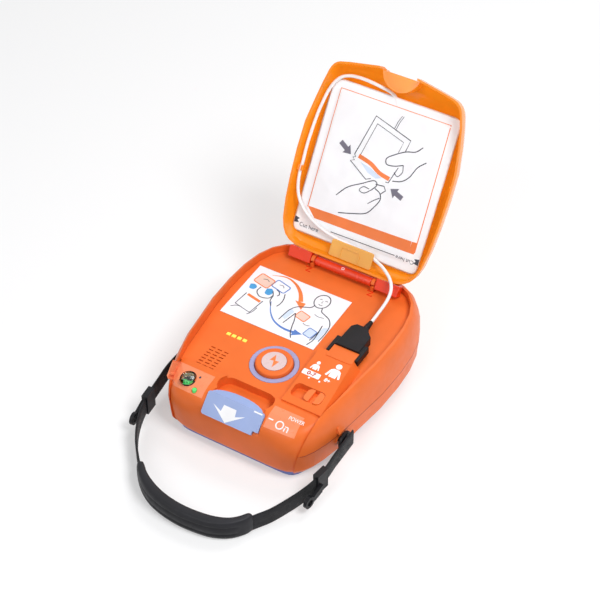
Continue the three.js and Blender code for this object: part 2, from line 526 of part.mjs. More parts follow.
// ---------------------------------------------------------------- lid, in the hinge's frame, closed
// lid-local y runs from 0 at the hinge to -LID_LENGTH at the free edge, and z is up when the lid is closed
const LID_LENGTH = HINGE_Y + BODY_FRONT - LID_FRONT_GAP;
const LID_BACK = KNUCKLE.front + GAP;
const LID_MIDDLE = 105;
const LID_GAP = 1.2;              // between the lid's edge and the deck wall
const LID = { side: 20, front: 26, back: 50, roundness: 0.84, frontSquareness: 18, backSquareness: 8 };
const LID_STEPS = [0, 16, 34, 52, 70, 90];
const LID_BOW = { width: 5.4, rate: 0.0008, at: 112 };
const LID_EDGE_BOW = 10;          // the free edge's middle is this far ahead of its corners
const LID_EDGE_FLAT = 0.24;       // share of the free edge that stays straight, at the scoop
const LIP_START = 150;            // the rim runs down to the front from here
const LIP_DROP = 7;
const lidHalfWidth = (u) => {
  const free = BODY_HALF_WIDTH - RIM_WIDTH - LID_BOW.width - LID_BOW.rate * (u - LID_BOW.at) ** 2;
  return Math.min(free, deckWallAt(HINGE_Y - u) - LID_GAP);
};

// turns of a plan outline that lie close together at its corners and evenly along its bowed sides
const LID_SIDE_SHARES = [0, 0.3, 0.55, 0.74];
const LID_CORNER_TURNS = [20, 32, 45, 58, 70].map((degrees) => degrees * Math.PI / 180);
const lidAngles = [0, 1, 2, 3].flatMap((quarter) => {
  const power = (quarter < 2 ? LID.backSquareness : LID.frontSquareness) / 2;
  const early = LID_SIDE_SHARES.map((share) => Math.asin(share ** power));
  const late = LID_SIDE_SHARES.slice(1).reverse().map((share) => Math.acos(share ** power));
  return [...early, ...LID_CORNER_TURNS, ...late].map((turn) => turn + quarter * Math.PI / 2);
});
const edgeBow = (share) => LID_EDGE_BOW * Math.max(0, Math.abs(share) - LID_EDGE_FLAT) / (1 - LID_EDGE_FLAT);

const lidRing = (degrees, wall, top, bottom) => {
  const turn = degrees * Math.PI / 180;
  const inward = 1 - Math.max(0, Math.cos(turn)) ** LID.roundness;
  const level = Math.sin(turn) ** LID.roundness;
  const [side, front, back] = [LID.side, LID.front, LID.back].map((inset) => wall + inset * inward);
  return lidAngles.map((angle) => {
    const [c, s] = [Math.cos(angle), Math.sin(angle)];
    const power = 2 / (s < 0 ? LID.frontSquareness : LID.backSquareness);
    const v = signedPower(s, power);
    const reach = s < 0 ? LID_LENGTH - front - LID_MIDDLE : LID_MIDDLE - LID_BACK - back;
    const plain = LID_MIDDLE - v * reach;
    const x = signedPower(c, power) * (lidHalfWidth(plain) - side);
    const u = plain - (s < 0 ? edgeBow(x / lidHalfWidth(plain)) * Math.abs(v) : 0);
    const lip = LIP_DROP * (Math.max(0, u - LIP_START) / (LID_LENGTH - LIP_START)) ** 2;
    return new THREE.Vector3(x, -u, bottom + (top - bottom) * level - lip * (1 - level));
  });
};
const lidForm = (wall, top, bottom, floor) => {
  const rings = LID_STEPS.map((degrees) => lidRing(degrees, wall, top, bottom));
  const foot = floor === undefined ? [] : [rings[0].map((point) => point.clone().setZ(floor))];
  return loft([...foot, ...rings]);
};

const SCOOP = { radius: 21.5, wall: 2.2, floor: -2, notch: 21, notchDepth: 4.5 };
const CATCH = { halfWidth: 4, height: 3, z: 6 };

function makeLidShell() {
  const outer = lidForm(0, LID_RISE, -LID_RIM_DROP);
  const skirt = 40;
  const inner = lidForm(LID_WALL, LID_RISE - LID_WALL, -LID_RIM_DROP, -skirt);
  const under = cut(inner, post(0, -LID_LENGTH, SCOOP.floor, FAR, SCOOP.radius, 32));
  const scoopOuter = common(outer, post(0, -LID_LENGTH, SCOOP.floor, FAR, SCOOP.radius, 32));
  const bowl = post(0, -LID_LENGTH, SCOOP.floor + SCOOP.wall, FAR, SCOOP.radius - SCOOP.wall, 32);
  const notch = block(-SCOOP.notch, SCOOP.notch, -FAR, -LID_LENGTH + SCOOP.notchDepth, -skirt, FAR);
  const hook = block(-CATCH.halfWidth, CATCH.halfWidth, -LID_LENGTH, -LID_LENGTH + SCOOP.radius + 1,
    CATCH.z, CATCH.z + CATCH.height);
  return cut(join(cut(outer, under), scoopOuter), bowl, notch, hook);
}

// ---------------------------------------------------------------- electrode pouch and its lead, in the lid
const POUCH = { sideGap: 5.5, u0: 20.6, u1: 186, front: 4.3, back: 12.6, taper: 12, wall: 0.8, radius: 7.5 };
const POUCH_HALF = lidHalfWidth(POUCH.u1) - POUCH.sideGap;
const PAD = { half: 55, length: 60, thickness: 2.6, radius: 12, u: [66, 138] };
const CLIP = { x0: -22, x1: 27, u0: 10.9, u1: 28.5, thickness: 2, root: 3, rootTop: 1.8 };
const LEAD_Z = POUCH.front - GAP - LEAD_RADIUS;
const LEAD_CLIP = { u: 86, length: 6, x: -80, half: 2.4, z1: 5.8 };

const pouchRing = (inset, z) => roundedRectPoints(-POUCH_HALF + inset, POUCH_HALF - inset,
  -POUCH.u1 + inset, -POUCH.u0 - inset, POUCH.radius, z);
const roundedRectPoints = (x0, x1, y0, y1, radius, z) => {
  const corners = [[x1, y1, -1, -1], [x0, y1, 1, -1], [x0, y0, 1, 1], [x1, y0, -1, 1]];
  return corners.flatMap(([x, y, inX, inY], quarter) => [0, 1, 2, 3].map((i) => {
    const turn = (quarter + i / 3) * Math.PI / 2;
    const [c, s] = [Math.cos(turn), Math.sin(turn)];
    return new THREE.Vector3(x + radius * (inX + c), y + radius * (inY + s), z);
  }));
};

function makePouch() {
  const { front, back, taper, wall } = POUCH;
  const middle = front + 2.4;
  const outer = loft([pouchRing(0, front), pouchRing(0, middle), pouchRing(taper, back)]);
  const inner = loft([pouchRing(wall + 8, front + wall), pouchRing(wall + 8, middle),
    pouchRing(wall + taper + 1, back - wall)]);
  const leadHole = block(-12, 6, -POUCH.u1 - 1, -POUCH.u1 + 14, front + wall + 0.1, front + wall + 4.6);
  return cut(outer, inner, leadHole);
}

function makePad(u) {
  const z0 = POUCH.front + POUCH.wall + GAP;
  return slab(roundedRect(-PAD.half, PAD.half, -u - PAD.length / 2, -u + PAD.length / 2, PAD.radius),
    z0, z0 + PAD.thickness, 5);
}

function makePouchClip() {
  const plate = slab(roundedRect(CLIP.x0, CLIP.x1, -CLIP.u1, -CLIP.u0, 2), -CLIP.thickness, 0, 3);
  const { x0, x1, u0, thickness, root, rootTop } = CLIP;
  return join(plate, block(x0 + 2, x1 - 2, -u0 - root, -u0, -thickness, rootTop));
}

function makeLeadClip() {
  const { u, length, x, half, z1 } = LEAD_CLIP;
  const wallX = lidHalfWidth(u) - LID_WALL - GAP - 1.8;
  const saddle = block(-wallX, x + half + 1, -u - length / 2, -u + length / 2, LEAD_Z - half - 1, z1);
  const channel = new THREE.CylinderGeometry(LEAD_RADIUS + GAP, LEAD_RADIUS + GAP, length + 2, 12);
  const bore = solidOf(channel.translate(x, -u, LEAD_Z));
  const mouth = block(x - 1.2, x + 1.2, -u - length, -u + length, LEAD_Z - 10, LEAD_Z);
  return cut(saddle, bore, mouth);
}

// the lead in the lid: from the clip at the bottom of the pouch, up the left wall and into the pouch's top
const LID_LEAD = [
  [28.4, 22], [20, 24.6], [8, 26.4], [-6, 27.6], [-20, 28.8], [-32, 30.8], [-43, 34], [-53, 38.4], [-62, 44],
  [-70, 51.4], [-75.6, 60.4], [-78.8, 71], [-80, 80], [-80, 86], [-80, 92], [-80.6, 108], [-80.2, 124],
  [-79, 142], [-76.8, 158], [-74, 171], [-69.6, 181.4], [-63.4, 188.2], [-55, 191.8], [-45, 193],
  [-35, 192.8], [-26, 192], [-18, 190.8], [-11, 189.5], [-5, 186.8], [-0.6, 182.4], [1.4, 176.6], [1.8, 171],
];
const LEAD_DIP = [5.1, 5.1, 5.1, 4.8, 3.2, 1.2];    // how deep the lead's last points lie, inside the pouch
const lidLeadPoints = () => LID_LEAD.map(([x, u], i) => {
  const dip = LEAD_DIP[LID_LEAD.length - 1 - i] ?? 0;
  return new THREE.Vector3(x, -u, LEAD_Z + dip);
});

// the free lead: from the plug's strain relief, over the hinge bar and up to the pouch clip
const FREE_LEAD = [
  [60, 50.4, 72.6], [60.2, 54, 73], [60.8, 61, 75], [61.8, 69, 78], [62.4, 77, 81.2], [61.6, 85, 84.4],
  [58.4, 93, 87.2], [52.8, 99.6, 89.4], [46, 104.6, 91], [38.6, 109, 92],
];

const tube = (points, steps, sides = 8) => {
  const section = new THREE.Shape();
  section.absarc(0, 0, LEAD_RADIUS, 0, 2 * Math.PI);
  const path = new THREE.CatmullRomCurve3(points, false, 'centripetal');
  const ring = new THREE.Shape(section.getSpacedPoints(sides).slice(0, -1));
  return solidOf(new THREE.ExtrudeGeometry(ring, { steps, bevelEnabled: false, extrudePath: path }));
};

// ---------------------------------------------------------------- plug
const PLUG = { x0: 46, x1: 72, y0: SOCKET.back + GAP, length: 34, z0: 66.2, z1: 76.4, corner: 5 };
const PLUG_NOSE = { side: 4, length: 7, low: 2 };
const PLUG_ARM = { width: 3.8, back: 12 };

function makePlug() {
  const y1 = PLUG.y0 + PLUG.length;
  const { x0, x1, z0, z1 } = PLUG;
  const c = PLUG.corner;
  const plan = [[x0, PLUG.y0], [x1, PLUG.y0], [x1, y1 - 2 * c], [x1 - c, y1 - c], [x1 - 2 * c + 2, y1],
    [x0 + c, y1], [x0 + 1, y1 - c]];
  const body = slab(outline(plan), z0, z1);
  const nose = plugNose(0, PLUG.y0 + 1);
  const arm = (from, to) => block(from, to, PLATFORM.back + GAP, PLUG.y0 + PLUG_ARM.back, z0 + 1, z1 - 1.6);
  const left = arm(x0 - PLUG_ARM.width - 1, x0 + 1);
  const right = arm(x1 - 1, x1 + PLUG_ARM.width + 1);
  const clearSocket = block(SOCKET.x0 - 2 * GAP, SOCKET.x1 + 2 * GAP, -FAR, SOCKET.back + GAP, 0, FAR);
  return join(cut(join(body, left, right), clearSocket), nose);
}
// the tongue that goes into the socket, grown by a gap
const plugNose = (gap, y1) => {
  const { side, length, low } = PLUG_NOSE;
  const z0 = PLATFORM.backTop - SOCKET.wall - SOCKET.height;
  const [z1, z2] = [z0 + low - gap, z0 + SOCKET.height - low + gap];
  return block(PLUG.x0 + side - gap, PLUG.x1 - side + gap, PLUG.y0 - length - gap, y1, z1, z2);
};

function makeSocket() {
  return cut(socketPlace(0), plugNose(GAP, FAR));
}

function makeStrainRelief() {
  const [length, wide, narrow] = [12.4, 3.6, 2.4];
  const cone = new THREE.CylinderGeometry(narrow, wide, length, 12);
  const z = FREE_LEAD[0][2];
  return solidOf(cone.translate(FREE_LEAD[0][0], PLUG.y0 + PLUG.length + GAP + length / 2, z));
}

// ---------------------------------------------------------------- strap, lying forward on the floor
// how far out each point is: 1 at the strap's eye, 0 at the grip's end, and below 0 inside the grip
const STRAP_TUCK = 30;
const strapPath = (side, gripEnd, rows) => rows.map(([out, y, z]) => {
  const spread = out > 0 ? out * (EYE.x0 - gripEnd) : out * STRAP_TUCK;
  return [side * (gripEnd + spread), y, z];
});
const RIGHT_STRAP = strapPath(1, 66.4, [
  [1.052, -66, 28.5], [1.084, -80, 28], [1.174, -93, 26.4], [1.195, -108, 23.6], [1.105, -125, 20],
  [0.895, -141, 16.4], [0.638, -156, 13.2], [0.387, -170, 11.4], [0.136, -181, 10.9], [-0.083, -191, 11],
  [-0.303, -198.6, 11.2],
]);
const LEFT_STRAP = strapPath(-1, 60, [
  [1.043, -66, 28.5], [1.068, -80, 28], [1.114, -93, 26.2], [1.12, -107, 24], [1.074, -122, 21],
  [0.972, -137, 17], [0.801, -150.6, 13.8], [0.556, -164, 11.6], [0.276, -175.4, 10.9], [-0.01, -186, 11],
  [-0.317, -194.4, 11.2],
]);
const GRIP = [
  [-60, -184.6], [-52, -193], [-41.7, -200.6], [-28.4, -207.2], [-12, -211.6], [6, -213.4], [24, -212.4],
  [40, -209.2], [53, -202.8], [61.6, -193.8], [66.4, -184.8],
];
const GRIP_SIZE = { height: 23.2, thickness: 12.6, endThickness: 8.4, z: 12.2 };

const curveThrough = (points) => {
  const places = points.map((point) => new THREE.Vector3(...point));
  return new THREE.CatmullRomCurve3(places, false, 'centripetal');
};

// a flat band standing on edge along a path, as wide as its height
const ribbon = (points, height, thickness, steps) => {
  const path = curveThrough(points);
  const rings = Array.from({ length: steps + 1 }, (_, i) => {
    const place = path.getPointAt(i / steps);
    const along = path.getTangentAt(i / steps).setZ(0).normalize();
    const out = new THREE.Vector3(along.y, -along.x, 0).multiplyScalar(thickness / 2);
    const up = new THREE.Vector3(0, 0, height / 2);
    return [place.clone().add(out).sub(up), place.clone().sub(out).sub(up),
      place.clone().sub(out).add(up), place.clone().add(out).add(up)];
  });
  return loft(rings);
};

function makeStrap(points, side) {
  const band = ribbon(points, STRAP_WIDTH, STRAP_THICKNESS, 20);
  const ends = [side * EYE.x0, side * (EYE.x0 + EYE.thickness)].sort((a, b) => a - b);
  const eye = axle(...ends, PIN.y, PIN.z, EYE.radius, 24);
  const bore = axle(-FAR, FAR, PIN.y, PIN.z, STRAP_PIN_RADIUS + EYE.clearance, 20);
  const sameSide = block(...[0, side * FAR].sort((a, b) => a - b), -FAR, FAR, 0, FAR);
  return cut(join(band, eye), common(bore, sameSide));
}

function makePin(side) {
  const along = (x0, x1, radius) => {
    const ends = [side * x0, side * x1].sort((a, b) => a - b);
    return axle(...ends, PIN.y, PIN.z, radius, 16);
  };
  const headX = EYE.x0 + EYE.thickness + GAP;
  const shank = along(SIDE_X - PIN.inside, SIDE_X + 2, PIN.shank);
  const journal = along(SIDE_X + 1.4, headX + 0.2, STRAP_PIN_RADIUS);
  return join(shank, journal, along(headX, headX + PIN.headLength, PIN.head));
}

// the point that lies a little way past a path's last one
const pastEnd = (points, distance) => {
  const [before, last] = points.slice(-2).map((point) => new THREE.Vector3(...point));
  return last.clone().add(last.clone().sub(before).setLength(distance)).toArray();
};

function makeGrip() {
  const path = new THREE.CatmullRomCurve3(GRIP.map(([x, y]) => new THREE.Vector3(x, y, GRIP_SIZE.z)));
  const steps = 22;
  const rings = Array.from({ length: steps + 1 }, (_, i) => {
    const share = i / steps;
    const fullness = Math.sin(Math.PI * share) ** 0.5;
    const thickness = GRIP_SIZE.endThickness + (GRIP_SIZE.thickness - GRIP_SIZE.endThickness) * fullness;
    const height = GRIP_SIZE.height * (0.94 + 0.06 * fullness);
    const place = path.getPointAt(share);
    const along = path.getTangentAt(share);
    const out = new THREE.Vector3(-along.y, along.x, 0);
    return Array.from({ length: 12 }, (__, k) => {
      const turn = (k + 0.5) * Math.PI / 6;
      const [c, s] = [signedPower(Math.cos(turn), 0.6), signedPower(Math.sin(turn), 0.6)];
      const point = place.clone().addScaledVector(out, c * thickness / 2);
      return point.setZ(GRIP_SIZE.z + s * height / 2);
    });
  });
  const grip = loft(rings);
  const slots = [LEFT_STRAP, RIGHT_STRAP].map((points) => {
    const longer = [...points, pastEnd(points, 2 * GAP)];
    return ribbon(longer, STRAP_WIDTH + 2 * GAP, STRAP_THICKNESS + 4 * GAP, 24);
  });
  return cut(grip, ...slots);
}

const ADJUSTER = { length: 15, height: 24, thickness: 6.4, reach: 23, eyelet: 6.6, hole: 3.6, ring: 3.6 };

// a slider round the band at one point of its path, with an eyelet on a stem that hangs ahead of it
function makeAdjuster(points, side, share, drop) {
  const path = curveThrough(points);
  const place = path.getPointAt(share);
  const along = path.getTangentAt(share);
  const heading = Math.atan2(along.y, along.x);
  const { length, height, thickness, reach, eyelet, hole, ring } = ADJUSTER;
  const slider = block(-length / 2, length / 2, -thickness / 2, thickness / 2, -height / 2, height / 2);
  const outer = side > 0 ? 1 : -1;
  const y = outer * (thickness / 2 + 1.2);
  const arm = stem(length / 2 - 4, reach - eyelet + 1, y, drop, ring);
  const eye = join(disc(reach, y, -drop, eyelet, ring), arm);
  const bracket = block(length / 2 - 5, length / 2, Math.min(0, y), Math.max(0, y), -height / 2, -2);
  const clear = disc(reach, y, -drop, hole, ring * 3);
  const local = cut(join(slider, eye, bracket), clear);
  const turned = geometryOf(local).rotateZ(heading).translate(place.x, place.y, place.z);
  const band = ribbon(points, STRAP_WIDTH + 2 * GAP, STRAP_THICKNESS + 2 * GAP, 40);
  return cut(solidOf(turned), band);
}
const disc = (x, y, z, radius, thickness) => {
  const cylinder = new THREE.CylinderGeometry(radius, radius, thickness, 16);
  return solidOf(cylinder.translate(x, y, z));
};
const stem = (x0, x1, y, drop, thickness) => {
  const points = [[x0, -6], [x0, 1], [x1, -drop + 3.4], [x1, -drop - 3.4], [x0 + 4, -9]];
  return prismY(points.reverse(), y - thickness / 2, y + thickness / 2);
};

// ---------------------------------------------------------------- control pieces
const lathe = (profile, sides) => {
  const points = profile.map(([r, z]) => new THREE.Vector2(r, z));
  return solidOf(new THREE.LatheGeometry(points, sides).rotateX(Math.PI / 2));
};

function makeShockButton() {
  const [r, top] = [BUTTON_RADIUS, BUTTON.proud];
  const pocket = DISC.radius + GAP;
  const floor = top - DISC.sunk - GAP;
  const profile = [[0, BUTTON.bottom], [r + BUTTON.collar, BUTTON.bottom],
    [r + BUTTON.collar, BUTTON.bottom + BUTTON.flange], [r, BUTTON.bottom + BUTTON.flange],
    [r, top - 2.4], [r - 0.8, top - 0.8], [r - 2.6, top], [pocket, top], [pocket, floor], [0, floor]];
  return lathe(profile, 28);
}

function makeShockRing() {
  return cut(post(0, 0, 0, RING.thickness, RING.outer, 28), post(0, 0, -1, 5, RING.inner, 28));
}

function makeLens() {
  const { radius, dome, skirt, wall } = LENS;
  const arc = Array.from({ length: 6 }, (_, i) => i * Math.PI / 10);
  const domed = (r, height) => arc.map((turn) => [r * Math.sin(turn), height * Math.cos(turn)]);
  const [outer, inner] = [domed(radius, dome), domed(radius - wall, dome - wall)];
  return lathe([...outer, [radius, -skirt], [radius - wall, -skirt], ...inner.reverse()].reverse(), 16);
}

const DRUM = { radius: 5.4, halfLength: 6.6, axle: 1, drop: 11.6, wall: 2.2, clear: 1 };
const DRUM_Z = LENS.z - DRUM.drop;

function makeDrum() {
  const half = DRUM.halfLength;
  return join(axle(LENS.x - half, LENS.x + half, LENS.y, DRUM_Z, DRUM.radius, 16),
    axle(LENS.x - half - DRUM.wall, LENS.x + half + DRUM.wall, LENS.y, DRUM_Z, DRUM.axle, 10));
}

function makeDrumHousing() {
  const [halfX, halfY] = [DRUM.halfLength + GAP, DRUM.radius + DRUM.clear];
  const top = LENS.z - LENS.skirt - 1 - GAP;
  const bottom = DRUM_Z - halfY - DRUM.wall;
  const { x, y } = LENS;
  const [wideX, wideY] = [halfX + DRUM.wall, halfY + DRUM.wall];
  const box = block(x - wideX, x + wideX, y - wideY, y + wideY, bottom, top);
  const room = block(x - halfX, x + halfX, y - halfY, y + halfY, DRUM_Z - halfY, FAR);
  const inside = panelForm(SHELL_WALL + GAP, PANEL_HEIGHT - SHELL_WALL - 2 * GAP, 0);
  return cut(common(box, inside), room, axle(-FAR, 0, y, DRUM_Z, DRUM.axle + GAP, 10));
}

function makeLever() {
  const { length, thickness, radius } = LEVER;
  const plate = slab(roundedRect(-LEVER_HALF_WIDTH, LEVER_HALF_WIDTH, -length, 0, radius), -thickness, 0, 3);
  const corner = block(LEVER_HALF_WIDTH - 6, FAR, -FAR, -length + 4.4, -FAR / 2, FAR / 2);
  const { halfWidth, y0, y1, depth } = LEVER_STEM;
  const foot = block(-halfWidth, halfWidth, y0, y1, -depth, -thickness + 1);
  const top = LEVER.z + FLANGE.top;
  const shelf = slab(shelfShape(0, 0), top - FLANGE.thickness, top);
  return join(toLever(join(cut(plate, corner), foot)), shelf);
}

function makeModeSlider() {
  const x1 = MODE.x1 - GAP;
  const x0 = x1 - MODE.knob;
  const [y0, y1] = [MODE.y0 + GAP, MODE.y1 - GAP];
  const low = modeFloor + GAP;
  const top = modeFloor + MODE.depth + GAP;
  const form = slab(roundedRect(x0, x1, y0, y1, MODE.corner - GAP), low, top);
  const valley = block(x0 + MODE.rib, x1 - MODE.rib, -FAR, FAR, low + MODE.base, FAR);
  const { width, halfDepth, length } = MODE_FOOT;
  const foot = block(MODE_FOOT_X1 - width, MODE_FOOT_X1, MODE_MIDDLE - halfDepth, MODE_MIDDLE + halfDepth,
    modeFloor - length, low + 1);
  return join(cut(form, valley), foot);
}

function makeModeSwitch() {
  const z0 = deckZ(MODE_MIDDLE) + CONTROL_BOARD.top + 2 * GAP;
  const z1 = modeFloor - MODE_CELL_WALL - GAP;
  const body = block(MODE.x0 + 8, MODE.x1 + 1, MODE_MIDDLE - 5, MODE_MIDDLE + 5, z0, z1);
  return cut(body, modeFootWay(GAP, modeFloor - MODE_FOOT.length - GAP));
}

function makeControlBoard() {
  const { top, thickness, x0, x1, y0, y1, notch } = CONTROL_BOARD;
  const corners = [[notch[0], y0], [x1, y0], [x1, y1], [x0, y1], [x0, notch[1]], [notch[0], notch[1]]];
  return slab(outline(corners), top - thickness, top);
}

function makeSpeaker() {
  const { radius, depth } = SPEAKER;
  const profile = [[0, -depth], [radius * 0.55, -depth], [radius * 0.6, -3.4], [radius, -2.4], [radius, 0],
    [radius - 1.6, 0], [radius - 3, -1], [4.6, -2], [3, -1.4], [0, -1.2]];
  return lathe(profile, 20);
}

function makeBattery() {
  const half = BATTERY_WIDTH / 2;
  const pack = common(block(-half, half, BATTERY_Y, FAR, BATTERY_Z, BATTERY_Z + BATTERY_HEIGHT), bodyOuter);
  const middle = BATTERY_Z + BATTERY_HEIGHT / 2;
  const [halfWidth, halfHeight] = [CONTACTS.halfWidth + 2 * GAP, CONTACTS.height / 2 + 2 * GAP];
  const entry = BATTERY_Y + CONTACTS.entry + GAP;
  const socket = block(-halfWidth, halfWidth, BATTERY_Y - 1, entry, middle - halfHeight, middle + halfHeight);
  return cut(pack, socket, latchBlock(GAP, LATCH.travel + GAP));
}
const latchBlock = (gap, behindIt) => {
  const half = LATCH.halfWidth + gap;
  const middle = BATTERY_Z + BATTERY_HEIGHT / 2;
  const y0 = BODY_BACK - LATCH.depth - behindIt;
  return block(-half, half, y0, FAR, middle - LATCH.height / 2 - gap, middle + LATCH.height / 2 + gap);
};
const makeLatch = () => common(latchBlock(0, 0), bodyForm({ wall: 0.6 }));

function makeContacts() {
  const middle = BATTERY_Z + BATTERY_HEIGHT / 2;
  const { halfWidth, height, length, entry } = CONTACTS;
  const front = BATTERY_Y - GAP - SHELL_WALL - GAP;
  const part = (grow, y0, y1) => block(-halfWidth - grow, halfWidth + grow, y0, y1,
    middle - height / 2 - grow, middle + height / 2 + grow);
  return join(part(2, front - length + 4, front), part(0, front - 1, BATTERY_Y + entry));
}

function makeScrew() {
  const { radius, head, headHeight, sunk, length } = SCREW;
  const body = join(post(0, 0, sunk, length, radius, 8), post(0, 0, sunk, sunk + headHeight, head, 10));
  const slot = 0.5;
  return cut(body, block(-head * 0.6, head * 0.6, -slot, slot, 0, sunk + 1), block(-slot, slot, -head * 0.6,
    head * 0.6, 0, sunk + 1));
}

// ---------------------------------------------------------------- finishes and assembly
const finish = (color, roughness, metalness = 0, opacity = 1) => new THREE.MeshStandardMaterial({
  color, roughness, metalness, opacity, transparent: opacity < 1,
});
const ORANGE = 0xf26a1f;
const finishes = {
  orange: () => finish(ORANGE, 0.42),
  amber: () => finish(0xff8a12, 0.18, 0, 0.7),
  redOrange: () => finish(0xf0401c, 0.3, 0, 0.85),
  blue: () => finish(0x8095d6, 0.45),
  white: () => finish(0xf4f3f8, 0.5),
  black: () => finish(0x15161a, 0.5),
  webbing: () => finish(0x101012, 0.9),
  rubber: () => finish(0x2c2d31, 0.75),
  clear: () => finish(0xdfe8e4, 0.05, 0, 0.4),
  green: () => finish(0x2fae4a, 0.4),
  yellow: () => finish(0xffd84a, 0.35),
  board: () => finish(0x1f6b3a, 0.55),
  metal: () => finish(0xb9bcc2, 0.35, 1),
  gel: () => finish(0xd8e4ee, 0.3),
};

const model = new THREE.Group();
const node = (name, solid, finishName, parent = model) => {
  const mesh = new THREE.Mesh(geometryOf(solid), finishes[finishName]());
  mesh.name = name;
  parent.add(mesh);
  return mesh;
};

const deck = new THREE.Group();
deck.position.z = DECK_HEIGHT;
deck.rotation.x = DECK_TILT;
const lever = new THREE.Group();
lever.position.set(0, LEVER.y, LEVER.z);
lever.rotation.x = LEVER.slope;
const lid = new THREE.Group();
lid.position.set(0, HINGE_Y, HINGE_Z);
lid.rotation.x = -LID_OPEN_ANGLE;
model.add(deck, lever, lid);

node('outer_shell', makeOuterShell(), 'orange');
node('control_deck', makeControlDeck(), 'orange');
node('lower_case', makeLowerCase(), 'orange');
node('base_tray', makeBaseTray(), 'blue');
CASE_SCREWS.forEach(([x, y], i) => node(`case_screw_${i + 1}`, makeScrew(), 'metal').position.set(x, y, 0));

node('guide_label', block(LABEL.x0, LABEL.x1, LABEL.y0, LABEL.y1, -LABEL.sunk, LABEL.thickness - LABEL.sunk),
  'white', deck);
node('shock_ring', makeShockRing(), 'blue', deck).position.set(BUTTON.x, BUTTON.y, -RING.sunk);
node('shock_button', makeShockButton(), 'orange', deck).position.set(BUTTON.x, BUTTON.y, 0);
node('shock_button_disc', post(BUTTON.x, BUTTON.y, BUTTON.proud - DISC.sunk, BUTTON.proud - DISC.sunk
  + DISC.thickness, DISC.radius, 32), 'white', deck);
node('shock_switch', block(BUTTON.x - 6, BUTTON.x + 6, BUTTON.y - 6, BUTTON.y + 6, CONTROL_BOARD.top + GAP,
  BUTTON.bottom - BUTTON_TRAVEL - GAP), 'black', deck);
ledPlaces().forEach(([x, y], i) => {
  const led = block(x - LED.width / 2, x + LED.width / 2, y - LED.depth / 2, y + LED.depth / 2,
    CONTROL_BOARD.top + GAP, 0.3);
  node(`status_led_${i + 1}`, led, 'yellow', deck);
});
node('speaker', makeSpeaker(), 'black', deck).position.set(SPEAKER.x, SPEAKER.y, UNDERSIDE - GAP);
node('control_board', makeControlBoard(), 'board', deck);

node('status_lens', makeLens(), 'clear').position.set(LENS.x, LENS.y, LENS.z);
node('status_drum', makeDrum(), 'green');
node('status_drum_housing', makeDrumHousing(), 'black');
node('ready_led', post(READY.x, READY.y, READY.bottom, READY.top, READY.radius, 16), 'green');
node('power_lever', makeLever(), 'blue');
node('lever_switch', block(LEVER_STEM.halfWidth + 1, LEVER_STEM.halfWidth + 15, -21.6, -10,
  -LEVER.thickness - SHELL_WALL - 6, -LEVER.thickness - SHELL_WALL - 2 * GAP), 'black', lever);
node('mode_slider', makeModeSlider(), 'orange');
node('mode_switch', makeModeSwitch(), 'black');

node('pad_socket', makeSocket(), 'black');
node('pad_plug', makePlug(), 'black');
node('plug_strain_relief', makeStrainRelief(), 'black');

node('main_board', block(-BOARD.x, BOARD.x, BOARD.y0, BOARD_BACK, BOARD.z, BOARD_TOP), 'board');
const CAPACITOR = { radius: 16.5, x0: -52, x1: 22, y: 22 };
node('hv_capacitor', axle(CAPACITOR.x0, CAPACITOR.x1, CAPACITOR.y, BOARD_TOP + GAP + CAPACITOR.radius,
  CAPACITOR.radius, 28), 'metal');
node('hv_transformer', block(32, 62, 6, 36, BOARD_TOP + GAP, BOARD_TOP + 24), 'black');
node('output_relay', block(34, 60, -34, -8, BOARD_TOP + GAP, BOARD_TOP + 17), 'black');
node('battery_pack', makeBattery(), 'black');
node('battery_latch', makeLatch(), 'blue');
node('battery_contacts', makeContacts(), 'black');

node('hinge_bar', makeHingeBar(), 'redOrange', lid);
node('lid_shell', makeLidShell(), 'amber', lid);
node('pouch_clip', makePouchClip(), 'amber', lid);
node('electrode_pouch', makePouch(), 'white', lid);
PAD.u.forEach((u, i) => node(`electrode_pad_${i + 1}`, makePad(u), 'gel', lid));
node('lead_clip', makeLeadClip(), 'amber', lid);
node('lid_lead', tube(lidLeadPoints(), 56), 'white', lid);

const freeLeadEnd = new THREE.Vector3(LID_LEAD[0][0] + 1, 0.3 - LID_LEAD[0][1], LEAD_Z)
  .applyAxisAngle(new THREE.Vector3(1, 0, 0), -LID_OPEN_ANGLE).add(lid.position);
node('free_lead', tube([...FREE_LEAD.map((point) => new THREE.Vector3(...point)), freeLeadEnd], 14), 'white');

const SIDES = [[1, 'right', RIGHT_STRAP, 0.35, 8], [-1, 'left', LEFT_STRAP, 0.34, 6]];
SIDES.forEach(([side, name, points, share, drop]) => {
  node(`strap_pin_${name}`, makePin(side), 'black');
  node(`strap_${name}`, makeStrap(points, side), 'webbing');
  node(`strap_adjuster_${name}`, makeAdjuster(points, side, share, drop), 'black');
});
node('strap_grip', makeGrip(), 'rubber');

export default model;
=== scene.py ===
# %% [markdown]
# # An emergency defibrillator with its lid open
# This file is a lesson in dressing a finished construction model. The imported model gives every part's true
# size and place, and nothing here moves it. Each step names a piece of the real object, says how it could
# be made in Blender, and then makes it: first the camera and the room, then the finishes, the pads' lead,
# the shells, the soft parts, and last the prints and marks.

# %% Load the construction model
import json
import math
import bmesh
import bpy
from mathutils import Matrix, Vector, noise
from mathutils.bvhtree import BVHTree
from mathutils.geometry import tessellate_polygon


